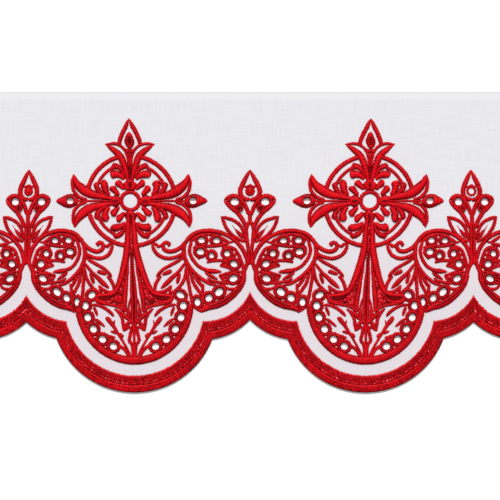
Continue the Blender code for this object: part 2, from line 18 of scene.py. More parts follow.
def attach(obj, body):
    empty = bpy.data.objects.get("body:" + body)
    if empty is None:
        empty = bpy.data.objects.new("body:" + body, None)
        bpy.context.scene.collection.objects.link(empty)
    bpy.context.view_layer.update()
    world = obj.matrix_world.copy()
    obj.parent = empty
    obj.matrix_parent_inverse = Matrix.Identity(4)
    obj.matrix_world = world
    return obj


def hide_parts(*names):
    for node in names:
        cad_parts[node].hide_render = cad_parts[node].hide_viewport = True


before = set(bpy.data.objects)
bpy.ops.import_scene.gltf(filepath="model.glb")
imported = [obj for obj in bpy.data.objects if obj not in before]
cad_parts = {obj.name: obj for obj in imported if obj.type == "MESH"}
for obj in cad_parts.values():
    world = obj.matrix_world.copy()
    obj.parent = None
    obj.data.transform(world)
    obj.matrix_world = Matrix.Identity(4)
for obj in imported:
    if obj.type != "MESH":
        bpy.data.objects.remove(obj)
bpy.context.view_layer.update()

LOG = logging.getLogger("altar_cloth")

MM = 0.001
LINEN_TOP = 1.2
CROSS_Y = 33.0
UNIT_X = -95.8
SCALLOP_X = -92.4
END_FLEURON_X = -178.9
HALF_LENGTH = 206.4
TOP_EDGE_Y = 120.4

# How far stitching sinks into the linen, and how near a cut end a stroke and an eyelet may come.
SUNK = 0.06
STROKE_MARGIN = 0.3
EYELET_MARGIN = 2.0

# Height above the cross and the sideways shift of a unit's axis towards the middle of the cloth.
LEAN = ((-152.8, 3.4), (-80.8, 3.0), (-39.2, 1.0), (0.0, 0.0), (65.6, -1.0))

# A shade runs from 0, bright, to 1, deep, and holds painted shade as well as the thread's own red.
# Below nought it marks linen that shows between stitches, and below that loose fibres, pink in part
# with painted red bounce light, which thin out until the linen takes over.
FLECK_START, FLECK_SHADE = -0.2, -1.0
FADED_SHADE, FRINGE_END_SHADE = -1.9, -2.0

Points = tuple[tuple[float, float, float], ...]
Eyelets = tuple[tuple[float, ...], ...]


@dataclass(frozen=True)
class Look:
    """How a kind of stitching stands up and what shade its thread takes.

    Attributes:
        height: The most that it rises.
        shade: How deep its red is along the middle.
        fleck: How far single stitches stray from that shade.
        fuller: What its padding adds to the width drawn.
        square: The power of its section: 2 is round, 8 is flat.
        lift: How far the stitches under it raise it.
        across: The number of vertices across it.
        crease: How deep the painted shade in the fold along its middle is.
        fuzz_and_bounce: How far loose fibres reach from its foot; their pink is partly
        painted red light that the thread bounces onto the linen.
    """

    height: float
    shade: float
    fleck: float
    fuller: float = 0.5
    square: float = 2.0
    lift: float = 0.0
    across: int = 5
    crease: float = 0.0
    fuzz_and_bounce: float = 0.0


class Stitch(Enum):
    """The kinds of stitching that the motifs are drawn with."""

    FILL = Look(height=0.5, shade=0.42, fleck=0.34, fuller=0.0, square=8.0, across=11)
    # HOLLOW lays deep red in hollows beside and between padded parts: painted shade.
    HOLLOW = Look(height=0.25, shade=0.72, fleck=0.10, fuller=0.0, square=8.0, lift=0.4)
    VEIN = Look(height=2.0, shade=0.24, fleck=0.18, fuller=0.55, across=7, fuzz_and_bounce=0.7)
    CORD = Look(height=2.2, shade=0.18, fleck=0.16, fuller=0.6, across=7, fuzz_and_bounce=0.7)
    PETAL = Look(height=2.2, shade=0.12, fleck=0.14, fuller=0.9, across=11, fuzz_and_bounce=0.7)
    PAIR = Look(height=2.2, shade=0.18, fleck=0.14, fuller=0.8, across=13, crease=0.35, fuzz_and_bounce=0.7)
    KNOT = Look(height=1.8, shade=0.22, fleck=0.16, fuller=0.3, lift=1.0, across=9)
    RIM = Look(height=2.0, shade=0.24, fleck=0.16, fuller=0.0, across=9, fuzz_and_bounce=0.7)
    # DARK lays deep red along creases and grooves between padded parts: painted shade.
    DARK = Look(height=0.6, shade=0.72, fleck=0.12, fuller=0.0, lift=2.0)


Strokes = dict[Stitch, tuple[Points, ...]]


def srgb(code: str) -> tuple[float, float, float, float]:
    """Turn six hex digits of sRGB into linear red, green and blue, and an alpha of one."""
    parts = [int(code[at : at + 2], 16) / 255 for at in (0, 2, 4)]
    linear = [part / 12.92 if part <= 0.04045 else ((part + 0.055) / 1.055) ** 2.4 for part in parts]
    return (linear[0], linear[1], linear[2], 1.0)


def add_node(tree: NodeTree, kind: str, inputs: dict[Any, Any], **settings: Any) -> Node:
    """Add a shader node, set its options and fill its inputs.

    Args:
        tree: The node tree it goes into.
        kind: The node's type.
        inputs: Values or other nodes' outputs, by the name or number of the input.
        settings: Options of the node itself.

    Returns:
        The new node.
    """
    node = tree.nodes.new(kind)
    for name, value in settings.items():
        setattr(node, name, value)
    for name, value in inputs.items():
        if isinstance(value, NodeSocket):
            tree.links.new(value, node.inputs[name])
        else:
            node.inputs[name].default_value = value
    return node


def blend(tree: NodeTree, amount: Any, first: Any, second: Any) -> NodeSocket:
    """Mix two colours, the second by an amount."""
    mixed = add_node(tree, "ShaderNodeMix", {"Factor": amount, 6: first, 7: second}, data_type="RGBA")
    return mixed.outputs[2]


def ramp(
    tree: NodeTree, value: Any, low: float, high: float, to: tuple[float, float] = (0.0, 1.0)
) -> NodeSocket:
    """Carry a value from the range low to high over to another range, and hold it inside."""
    names = ("Value", "From Min", "From Max", "To Min", "To Max")
    made = add_node(tree, "ShaderNodeMapRange", dict(zip(names, (value, low, high, *to))))
    return made.outputs["Result"]


def noise(tree: NodeTree, place: Any, scale: Any, detail: float = 2.0) -> NodeSocket:
    """Soft noise, of so many spots a metre: one number, or three that stretch it."""
    if isinstance(scale, tuple):
        place = add_node(tree, "ShaderNodeMapping", {"Vector": place, "Scale": scale}).outputs["Vector"]
        scale = 1.0
    made = add_node(tree, "ShaderNodeTexNoise", {"Vector": place, "Scale": scale, "Detail": detail})
    return made.outputs["Fac"]


def empty_material(name: str) -> tuple[Material, NodeTree]:
    """A material without nodes, and its tree."""
    made = bpy.data.materials.new(name)
    made.use_nodes = True
    made.node_tree.nodes.clear()
    return made, made.node_tree


def on_cloth(tree: NodeTree) -> NodeSocket:
    """The place on the cloth, in metres."""
    return add_node(tree, "ShaderNodeTexCoord", {}).outputs["Object"]


def surface(tree: NodeTree, inputs: dict[str, Any]) -> None:
    """End a material's tree with its surface."""
    shader = add_node(tree, "ShaderNodeBsdfPrincipled", inputs)
    add_node(tree, "ShaderNodeOutputMaterial", {"Surface": shader.outputs["BSDF"]})


@dataclass(frozen=True)
class ThreadFinish:
    """Mercerised cotton thread in satin stitch: a clear red.

    Painted shade deepens it in its grooves, creases, hollows and feet.
    """

    bright: str = "D60B18"
    deep: str = "3E0003"
    fleck: str = "D8909A"
    faded: str = "D2C8CC"
    roughness: float = 0.45
    specular: float = 0.05

    def material(self) -> Material:
        """Build the material; each vertex says how deep its red is, painted shade included."""
        made, tree = empty_material("mercerised_cotton_satin_stitch")
        place = on_cloth(tree)
        shade = add_node(tree, "ShaderNodeAttribute", {}, attribute_name="shade").outputs["Fac"]
        # The lots of a dyed thread differ a little, in spots of about 22 mm.
        mottle = ramp(tree, noise(tree, place, 45.0), 0.3, 0.7, to=(-0.07, 0.07))
        depth = add_node(tree, "ShaderNodeMath", {0: shade, 1: mottle}, operation="ADD", use_clamp=True)
        colour = blend(tree, depth.outputs[0], srgb(self.bright), srgb(self.deep))
        # Below nought: pink, then faded linen, for linen between stitches, for fibres, and as painted red
        # bounce light beside the stitches and in the holes.
        colour = blend(tree, ramp(tree, shade, FLECK_START, FLECK_SHADE), colour, srgb(self.fleck))
        colour = blend(tree, ramp(tree, shade, FLECK_SHADE, FADED_SHADE), colour, srgb(self.faded))
        surface(tree, {
            "Base Color": colour,
            "Roughness": self.roughness,
            "Specular IOR Level": self.specular,
            "IOR": 1.53,
        })
        return made


@dataclass(frozen=True)
class LinenFinish:
    """Bleached plain-weave linen: a cool matt white with faint slubs along warp and weft."""

    body: str = "D5D5D8"
    slub: str = "D1CFD4"
    hem: str = "D7D7DA"
    # The edge tone is a painted shadow line along the upper edge.
    edge: str = "CBC8D2"
    lower_tint: str = "D0C9CE"
    roughness: float = 0.85
    weave_depth: float = 0.12

    def material(self) -> Material:
        """Build the material: the hem, and a painted shadow line along the upper edge."""
        made, tree = empty_material("bleached_plain_weave_linen")
        place = on_cloth(tree)
        # Slubs are about 1 mm across and 20 mm long.
        warp = noise(tree, place, (1100.0, 50.0, 1.0))
        weft = noise(tree, place, (60.0, 900.0, 1.0))
        both = add_node(tree, "ShaderNodeMath", {0: warp, 1: weft}, operation="ADD").outputs[0]
        colour = blend(tree, ramp(tree, both, 0.8, 1.2), srgb(self.body), srgb(self.slub))
        # The linen turns pinker and a little darker towards its embroidered lower part; then the hem,
        # and a painted shadow line along the upper edge.
        up = add_node(tree, "ShaderNodeSeparateXYZ", {"Vector": place}).outputs["Y"]
        for code, start, stop in (
            (self.lower_tint, 32.0, -40.0),
            (self.hem, TOP_EDGE_Y - 7.0, TOP_EDGE_Y - 6.0),
            (self.edge, TOP_EDGE_Y - 1.2, TOP_EDGE_Y - 0.5),
        ):
            colour = blend(tree, ramp(tree, up, start * MM, stop * MM), colour, srgb(code))
        # Real weave has about 18 threads per cm; it is drawn at about 10 so that it can show.
        weave = noise(tree, place, 1000.0, detail=1.0)
        bump = add_node(
            tree, "ShaderNodeBump", {"Height": weave, "Strength": self.weave_depth, "Distance": 0.3 * MM}
        )
        surface(tree, {
            "Base Color": colour,
            "Roughness": self.roughness,
            "Specular IOR Level": 0.2,
            "IOR": 1.53,
            "Normal": bump.outputs["Normal"],
        })
        return made


@dataclass(frozen=True)
class FloorFinish:
    """Matt white photographic paper, which the light takes to pure white."""

    colour: str = "FAFAFA"

    def material(self) -> Material:
        """Build the material."""
        made, tree = empty_material("matt_white_paper")
        surface(tree, {"Base Color": srgb(self.colour), "Roughness": 0.9, "Specular IOR Level": 0.1})
        return made


def smooth(points: np.ndarray, steps: int = 10) -> np.ndarray:
    """A Catmull-Rom course through points.

    Args:
        points: One row per point, of any numbers.
        steps: New rows for each stretch between two points.

    Returns:
        The finer rows, which pass through the given ones.
    """
    if len(points) == 2:
        return points
    guide = np.vstack([2 * points[0] - points[1], points, 2 * points[-1] - points[-2]])
    t = np.linspace(0, 1, steps, endpoint=False)[:, None]
    rows = []
    for p, q, r, s in zip(guide, guide[1:], guide[2:], guide[3:]):
        bend = 2 * p - 5 * q + 4 * r - s
        twist = 3 * q - p - 3 * r + s
        rows.append((2 * q + (r - p) * t + bend * t**2 + twist * t**3) / 2)
    return np.vstack([*rows, points[-1:]])


def arc(
    half_width: float,
    half_height: float,
    widths: tuple[float, float],
    angles: tuple[float, float],
    centre: tuple[float, float] = (0.0, 0.0),
) -> Points:
    """Points along an elliptical arc.

    Args:
        half_width: Half its width.
        half_height: Half its height.
        widths: The stroke's width at the start and at the end.
        angles: The first and the last angle, in degrees.
        centre: The ellipse's middle.

    Returns:
        Rows of x, y and width.
    """
    count = max(4, round(abs(angles[1] - angles[0]) / 9))
    turn = np.radians(np.linspace(*angles, count + 1))
    x = centre[0] + half_width * np.cos(turn)
    y = centre[1] + half_height * np.sin(turn)
    return tuple(zip(x, y, np.linspace(*widths, count + 1)))


def add_object(name: str, data: Any) -> Object:
    """Make an object of its data and link it to the scene."""
    obj = bpy.data.objects.new(name, data)
    bpy.context.scene.collection.objects.link(obj)
    return obj


def inside(ring: np.ndarray, x: np.ndarray, y: np.ndarray) -> np.ndarray:
    """Which places lie inside a ring of points."""
    odd = np.zeros(len(x), bool)
    for (ax, ay), (bx, by) in zip(ring, np.roll(ring, -1, axis=0)):
        if ay != by:
            odd ^= ((ay > y) != (by > y)) & (x < ax + (bx - ax) * (y - ay) / (by - ay))
    return odd


def within(ring: np.ndarray) -> bool:
    """Whether an eyelet lies clear of the cut ends."""
    return bool(np.abs(ring[:, 0]).max() < HALF_LENGTH - EYELET_MARGIN)


@dataclass(frozen=True)
class Place:
    """Where a motif's drawing lies on the cloth: its axis, its signed width share and its lean."""

    axis: float
    share: float
    lean: tuple[tuple[float, float], ...]

    def put(self, rows: np.ndarray) -> np.ndarray:
        """Move rows that start with x and y onto the cloth."""
        moved = np.array(rows, float)
        heights, shifts = np.array(self.lean).T
        moved[:, 0] = self.axis + np.interp(moved[:, 1], heights, shifts) + self.share * moved[:, 0]
        moved[:, 1] += CROSS_Y
        return moved


class Mesh:
    """Vertices, faces and shades gathered into one mesh."""

    def __init__(self) -> None:
        self.vertices: list[np.ndarray] = []
        self.faces: list[np.ndarray] = []
        self.shades: list[np.ndarray] = []
        self.count = 0

    def add_band(self, spots: np.ndarray, heights: np.ndarray, shades: np.ndarray) -> np.ndarray:
        """Add a grid of places (rows, columns, 2) with a height and a shade for each; return it."""
        grid = np.concatenate([spots, heights[..., None]], axis=-1)
        self.add_rows(grid, shades)
        return grid

    def add_rows(self, grid: np.ndarray, shades: np.ndarray) -> None:
        """Add a grid of points (rows, columns, 3) with a shade for each."""
        rows, columns = grid.shape[:2]
        index = np.arange(rows * columns).reshape(rows, columns)
        quads = np.stack([index[:-1, :-1], index[1:, :-1], index[1:, 1:], index[:-1, 1:]], axis=-1)
        self.vertices.append(grid.reshape(-1, 3))
        self.faces.append(quads.reshape(-1, 4) + self.count)
        self.shades.append(shades.reshape(-1))
        self.count += rows * columns

    def cut(self, holes: list[np.ndarray]) -> None:
        """Drop the faces made so far that reach into a hole, a ring of points."""
        points = np.vstack(self.vertices)
        faces = np.vstack(self.faces)
        low, high = points.min(axis=0), points.max(axis=0)
        blocked = np.zeros(len(points), bool)
        for ring in holes:
            if (ring.min(axis=0) > high[:2]).any() or (ring.max(axis=0) < low[:2]).any():
                continue
            near = np.flatnonzero((np.abs(points[:, :2] - ring.mean(axis=0)) < 6).all(axis=1))
            blocked[near] |= inside(ring, points[near, 0], points[near, 1])
        self.faces = [faces[~blocked[faces].any(axis=1)]]

    def build(self, name: str, finish: Material) -> Object:
        """Make and link the object, with one material."""
        points = np.vstack(self.vertices)
        kept = np.vstack(self.faces)
        used, numbers = np.unique(kept, return_inverse=True)
        mesh = bpy.data.meshes.new(name)
        mesh.from_pydata((points[used] * MM).tolist(), [], numbers.reshape(kept.shape).tolist())
        shade = mesh.attributes.new("shade", "FLOAT", "POINT")
        shade.data.foreach_set("value", np.concatenate(self.shades)[used].astype(np.float32))
        mesh.polygons.foreach_set("use_smooth", np.ones(len(mesh.polygons), bool))
        mesh.materials.append(finish)
        mesh.update()
        return add_object(name, mesh)


def stitched(mesh: Mesh, node: str, finish: Material) -> Object:
    """Make a piece of embroidery in place of the CAD node of its name."""
    obj = mesh.build(f"{node}_stitches", finish)
    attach(obj, "root")
    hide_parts(node)
    return obj


@dataclass(frozen=True)
class SatinStitch:
    """How satin stitch is laid: the real pitch is 0.4 mm, and it is drawn coarser so that it shows.

    Attributes:
        pitch: From one rib to the next, with so many samples of it.
        ridge: How far a rib stands out at the sides.
        stray: How unevenly the stitches end.
        slant: How far a stitch runs on for each millimetre across.
        gaps: The share of a filling where linen shows.
        slim: The width under which a column loses its ribs and its padding.
        padding: The width that a column needs to stand well up.
        taper: The share of the width over which an end is rounded.
        painted_foot_shade: How much painted shade deepens the foot of a column against its back.
        rim_reach: From the hole's edge to the middle of its rim.
        rim_throat: How much painted shade deepens the rim towards the hole.
        turned: The linen turned down in a hole: the share of its radius, the height, the shade;
        the pink of its lower shades is partly painted red bounce light.
    """

    pitch: float = 1.9
    samples: int = 4
    ridge: float = 0.18
    stray: float = 0.12
    slant: float = 0.3
    gaps: float = 0.08
    slim: float = 1.5
    padding: float = 2.6
    taper: float = 0.45
    painted_foot_shade: float = 0.9
    rim_width: float = 2.7
    rim_reach: float = 1.15
    rim_throat: float = 0.5
    turned: Points = (
        (1.0, LINEN_TOP + 0.6, 0.5), (0.96, 0.9, 0.1), (0.9, 0.4, -0.8), (0.82, 0.05, -1.6),
    )

    def column(
        self, mesh: Mesh, line: np.ndarray, look: Look, rng: np.random.Generator, throat: float = 0.0
    ) -> None:
        """Add one column of stitches along a line.

        Args:
            mesh: Where it goes.
            line: Rows of x, y and width on the cloth.
            look: The kind of stitching.
            rng: The source of the small faults.
            throat: How much painted shade deepens the column towards its left-hand side.
        """
        closed = np.allclose(line[0, :2], line[-1, :2])
        fine = smooth(line)
        reach = np.concatenate([[0.0], np.cumsum(np.hypot(*np.diff(fine[:, :2], axis=0).T))])
        count = self.samples * max(1, round(reach[-1] / self.pitch)) + 1
        at = np.linspace(0.0, reach[-1], count)
        x, y, width = (np.interp(at, reach, fine[:, column]) for column in range(3))
        course = np.stack([x, y], axis=1)
        tangent = self.headings(course, closed)
        normal = np.stack([-tangent[:, 1], tangent[:, 0]], axis=1)

        full = np.minimum(1, width / self.slim)
        width = np.maximum(width, 0.2) + look.fuller * full
        round_off = np.ones(count)
        if not closed:
            inward = np.clip(np.minimum(at, reach[-1] - at) / (self.taper * width + 0.05), 0, 1)
            round_off = np.sqrt(1 - (1 - inward) ** 2) * 0.9 + 0.1
        crest = np.cos(np.arange(count) * math.tau / self.samples)
        crest = crest * np.append(rng.uniform(0.4, 1.2, count - 1), 1.0)
        faults = rng.uniform(-self.stray, self.stray, (count, 2))
        faults[-1] = faults[0]
        half = (width / 2 * round_off + crest * self.ridge * np.minimum(1, width / self.slim))[:, None]
        s = np.sin(np.linspace(-math.pi / 2, math.pi / 2, look.across))
        spread = half * s + np.where(s < 0, faults[:, :1] * s, faults[:, 1:] * s)
        spots = course[:, None] + normal[:, None] * spread[..., None]
        slant = self.slant * min(1.0, reach[-1] / (3 * width.max()))
        spots += tangent[:, None] * (slant * spread)[..., None]

        tall = look.height * (1 - np.exp(-width * round_off / self.padding))
        # The crease dips the column's height, and paints shade along the dip.
        fold = look.crease * np.exp(-((s / 0.2) ** 2))
        dome = np.sqrt(np.maximum(1 - np.abs(s) ** look.square, 0)) * (1 - 0.4 * fold)
        grain = rng.uniform(-1, 1, (count, look.across)) * look.fleck
        height = tall[:, None] * dome * (1 + 0.10 * crest[:, None] + 0.4 * grain * (look.square > 4))
        base = LINEN_TOP - SUNK + look.lift
        stitch = np.repeat(rng.uniform(-1, 1, count // 2 + 1), 2)[:count, None] * look.fleck
        # Painted highlight on each rib's crest, and painted shade in the grooves between ribs.
        ribs = (0.12 + 0.05 * np.minimum(1, width / 5)) * crest
        # Painted shade at the column's feet, where its sides slope down to the linen.
        foot = self.painted_foot_shade * np.abs(s) ** 2.5
        shade = look.shade + stitch - ribs[:, None] + foot + fold + 0.3 * grain
        # Painted shade towards the left-hand side, which is the inside of an eyelet's rim.
        shade = np.clip(shade + throat * np.clip(s + 0.3, 0, 1), 0, 1)
        if look is Stitch.FILL.value:
            shade = np.clip(shade + grain, 0, 1)
            shade[rng.random(shade.shape) < self.gaps] = FLECK_SHADE
        grid = mesh.add_band(spots, base + height, shade)
        # Loose fibres beside the column; their pink is partly painted red bounce light.
        if look.fuzz_and_bounce:
            for side in (-1, 1)[: 1 if throat else 2]:
                skirt_reach = look.fuzz_and_bounce * rng.uniform(0.5, 1.3, count) * round_off * np.maximum(full, 0.4)
                edge = grid[:, -1 if side > 0 else 0, :2]
                self.fringe_and_bounce(mesh, edge, side * skirt_reach[:, None] * normal, side)

    @staticmethod
    def headings(course: np.ndarray, closed: bool) -> np.ndarray:
        """The unit tangent at each point of a course, which may be closed."""
        if closed:
            ends = np.vstack([course[-2], course, course[1]])
            tangent = ends[2:] - ends[:-2]
        else:
            tangent = np.gradient(course, axis=0)
        return tangent / np.maximum(np.hypot(*tangent.T), 1e-9)[:, None]

    @staticmethod
    def fringe_and_bounce(mesh: Mesh, edge: np.ndarray, outward: np.ndarray, side: int) -> None:
        """Lay loose fibres, pink in part with painted red bounce light, along one side of a column.

        Args:
            mesh: Where they go.
            edge: The column's edge on that side.
            outward: How far they reach from it.
            side: 1 on the left-hand side, -1 on the right-hand side.
        """
        low = np.full((len(edge), 1), LINEN_TOP + 0.03)
        skirt = np.stack([np.hstack([edge, low + 0.12]), np.hstack([edge + outward, low])], axis=1)
        # Tones fade from red at the foot to linen: fibres, and painted red bounce light.
        tones = np.tile((0.6, FRINGE_END_SHADE), (len(edge), 1))
        mesh.add_rows(skirt[:, ::side], tones[:, ::side])

    def eyelet(self, mesh: Mesh, ring: np.ndarray, rng: np.random.Generator) -> None:
        """Add an eyelet's overcast rim, and the turned edge that slopes down inside its hole.

        Args:
            mesh: Where it goes.
            ring: The hole's edge.
            rng: The source of the small faults.
        """
        middle = ring.mean(axis=0)
        spokes = ring - middle
        (ax, ay), (bx, by) = spokes[:2]
        if ax * by - ay * bx < 0:
            ring, spokes = ring[::-1], spokes[::-1]
        far = np.hypot(*spokes.T)[:, None]
        cord = middle + spokes * (far + self.rim_reach) / far
        around = np.vstack([cord, cord[:1]])
        line = np.column_stack([around, np.full(len(around), self.rim_width)])
        # The rim takes painted shade towards the hole.
        self.column(mesh, line, Stitch.RIM.value, rng, throat=self.rim_throat)
        loop = np.vstack([ring, ring[:1]]) - middle
        # The turned edge runs from red through pink to faded linen: thread and fibres, and painted red
        # bounce light in the hole's shade.
        wall = [np.hstack([middle + loop * near, np.full((len(loop), 1), z)]) for near, z, _ in self.turned]
        tones = np.tile([tone for _, _, tone in self.turned], (len(loop), 1))
        mesh.add_rows(np.stack(wall, 1)[::-1], tones)


@dataclass
class Motif:
    """One embroidered motif: its strokes and the rings of its eyelets, on the cloth."""

    name: str
    lines: list[tuple[Look, np.ndarray]] = field(default_factory=list)
    holes: list[np.ndarray] = field(default_factory=list)

    def draw(self, strokes: Strokes, place: Place) -> None:
        """Add strokes at a place."""
        for kind, lines in strokes.items():
            for points in lines:
                self.lines.append((kind.value, place.put(smooth(np.array(points, float), 6))))

    def pierce(self, eyelets: Eyelets, place: Place) -> None:
        """Add eyelets, each a centre, half length, half width and tilt in degrees."""
        turn = np.linspace(0, math.tau, 24, endpoint=False)
        for x, y, half_length, half_width, tilt in eyelets:
            cos, sin = math.cos(math.radians(tilt)), math.sin(math.radians(tilt))
            along, across = half_length * np.cos(turn), half_width * np.sin(turn)
            ring = np.stack([x + along * cos - across * sin, y + along * sin + across * cos], axis=1)
            self.holes.append(place.put(ring))

    def mirrored(self, name: str, about: float = 0.0) -> "Motif":
        """The same motif turned over about the line x = about."""

        def turned(rows: np.ndarray) -> np.ndarray:
            """Rows of x and more, turned over."""
            flipped = rows.copy()
            flipped[:, 0] = 2 * about - flipped[:, 0]
            return flipped

        lines = [(look, turned(rows)) for look, rows in self.lines]
        return Motif(name, lines, [turned(ring)[::-1] for ring in self.holes])

    def embroider(self, finish: Material, holes: list[np.ndarray], seed: int) -> Object:
        """Stitch the motif as one mesh in place of its CAD node.

        Args:
            finish: The thread's material.
            holes: Every eyelet of the cloth.
            seed: Starts the small faults.

        Returns:
            The motif's object.
        """
        rng = np.random.default_rng(seed)
        mesh = Mesh()
        satin = SatinStitch()
        for look, rows in self.lines:
            kept = rows[np.abs(rows[:, 0]) < HALF_LENGTH - STROKE_MARGIN]
            if len(kept) > 2:
                satin.column(mesh, kept, look, rng)
        mesh.cut(holes)
        for ring in filter(within, self.holes):
            satin.eyelet(mesh, ring, rng)
        return stitched(mesh, self.name, finish)


def up_and_down(strokes: tuple[Points, ...]) -> tuple[Points, ...]:
    """Strokes together with their reflections in the line y = 0."""
    return strokes + tuple(tuple((x, -y, width) for x, y, width in points) for points in strokes)


def round_the_cross(strokes: tuple[Points, ...]) -> tuple[Points, ...]:
    """Strokes of a quadrant's lower half, with those of its upper half and of the quadrant below."""
    both = strokes + tuple(tuple((y, x, width) for x, y, width in points) for points in strokes)
    return up_and_down(both)


@dataclass(frozen=True)
class Cross:
    """The cross flory with its hub, rings and quadrant fans."""

    hub_radius: float = 7.2
    hub_width: float = 2.1
    outer_share: float = 0.96
    # Radius above the cross, radius below it, width, first angle, last angle above and below.
    rings: tuple[tuple[float, ...], ...] = ((36.3, 36.0, 2.5, 15, 76, 84), (30.2, 30.0, 1.5, 28, 62, 62))
    axis: ClassVar[Strokes] = {
        Stitch.PETAL: (
            ((0, 55.4, 0.4), (0, 51.6, 4.4), (0, 48, 6.6), (0, 44.6, 5.0), (0, 41.6, 1.4)),
            ((0, 8.4, 3.4), (0, 10.6, 6.4), (0, 13.4, 8.0), (0, 15.6, 6.8), (0, 17.2, 3.0)),
            ((0, -7.4, 3.6), (0, -10.6, 7.6), (0, -13.4, 7.8), (0, -17.2, 4.0)),
        ),
        Stitch.DARK: (
            ((0, 52.2, 1.0), (0, 48.2, 3.2), (0, 44.6, 1.2)),
            ((0, 9.8, 1.0), (0, 13.0, 2.6), (0, 16.2, 1.0)),
            ((0, -9.4, 1.2), (0, -12.6, 2.6), (0, -16.0, 1.2)),
        ),
        Stitch.HOLLOW: (((0, 33, 1.2), (0, 26, 3.2), (0, 17, 3.4)),),
        Stitch.VEIN: (((0, 41.6, 1.4), (0, 36, 1.2), (0, 31, 1.2)),),
    }
    side: ClassVar[Strokes] = {
        Stitch.CORD: (
            ((0, 66.2, 0.2), (2.5, 60.2, 2.3), (5.5, 54.4, 2.4), (7.9, 48.8, 2.4), (8.6, 44.4, 1.8)),
            ((0.9, 27.2, 1.4), (1.3, 33.2, 1.4), (2.9, 38.9, 1.4), (5.7, 42.7, 1.4), (9.6, 45.1, 1.4),
             (14, 45.9, 1.4), (20.4, 45.6, 0.2)),
        ),
        Stitch.PETAL: (
            ((1.6, 15.6, 1.4), (2.3, 20.0, 2.2), (3.5, 25.0, 3.2), (5.1, 29.8, 4.0), (7.1, 34.6, 4.4),
             (9.9, 38.1, 4.0), (13.6, 41.1, 3.0), (17.2, 43.8, 1.4), (20.4, 45.6, 0.2)),
            ((1.5, 8.4, 2.0), (3.2, 12.2, 3.2), (3.9, 15.2, 2.0)),
        ),
        Stitch.VEIN: (((0, 41.0, 1.4), (2.6, 39.6, 3.0), (4.0, 39.4, 1.4)),),
    }
    arm: ClassVar[Strokes] = {
        Stitch.PETAL: up_and_down((
            ((14.0, 1.8, 1.8), (20.0, 2.8, 3.0), (26.0, 4.0, 4.4), (31.5, 5.2, 5.6), (37.2, 8.0, 6.8),
             (42.0, 11.6, 5.8), (45.2, 16.0, 3.2), (47.0, 21.6, 0.2)),
        )) + (
            ((7.6, 0, 4), (9.6, 0, 7.6), (12.2, 0, 9.0), (14.6, 0, 7.6), (16.4, 0, 3.6)),
            ((43, 0, 3.6), (45.4, 0, 7.4), (49.4, 0, 10), (53.4, 0, 9.0), (57.6, 0, 5.0), (62.0, 0, 0.2)),
        ),
        Stitch.CORD: up_and_down((
            ((47.0, 21.6, 0.2), (48.0, 15.4, 1.6), (47.2, 9.0, 1.8), (45.0, 5.4, 1.8), (41.6, 2.6, 1.8),
             (36.0, 0.9, 1.4)),
        )),
        Stitch.VEIN: (((15.8, 0, 1.1), (30, 0, 1.1), (43.4, 0, 1.1)),),
        Stitch.DARK: (((9.4, 0, 1.4), (12.2, 0, 2.6), (15.0, 0, 1.2)),),
    }
    quadrant: ClassVar[Strokes] = {
        Stitch.PETAL: round_the_cross((
            ((4.6, 17.0, 1.2), (7.4, 19.8, 3.0), (10.8, 21.2, 4.6), (13.8, 21.0, 5.6), (16.0, 19.4, 4.8)),
            ((4.4, 9.2, 1.4), (7.8, 12.4, 3.2), (10.4, 14.6, 4.4), (12.0, 15.6, 3.4)),
        )),
        Stitch.VEIN: round_the_cross((
            ((4.2, 18.2, 1.2), (5.8, 23.0, 2.2), (8.4, 26.2, 3.2), (11.4, 27.6, 4.0), (13.8, 26.8, 3.8)),
            ((12.4, 30.6, 1.0), (13.8, 27.6, 1.8), (14.8, 24.4, 1.4)),
        )),
    }
    eyelets: Eyelets = ((50.2, 0, 3.2, 2.7, 0),)

    def motif(self) -> Motif:
        """Draw the left unit's cross."""
        made = Motif("cross_left")
        for share in (1.0, -self.outer_share):
            place = Place(UNIT_X, share, LEAN)
            for strokes in (self.side, self.arm, self.quadrant):
                made.draw(strokes, place)
            for above, below, width, first, last, lowest in self.rings:
                made.draw({Stitch.CORD: (
                    arc(above, above, (width, width), (first, last)),
                    arc(below, below, (width, width), (-first, -lowest)),
                )}, place)
            made.pierce(self.eyelets, place)
        place = Place(UNIT_X, 1.0, LEAN)
        hub = arc(self.hub_radius, self.hub_radius, (self.hub_width, self.hub_width), (0, 360))
        made.draw({Stitch.CORD: (hub,)}, place)
        made.draw(self.axis, place)
        return made


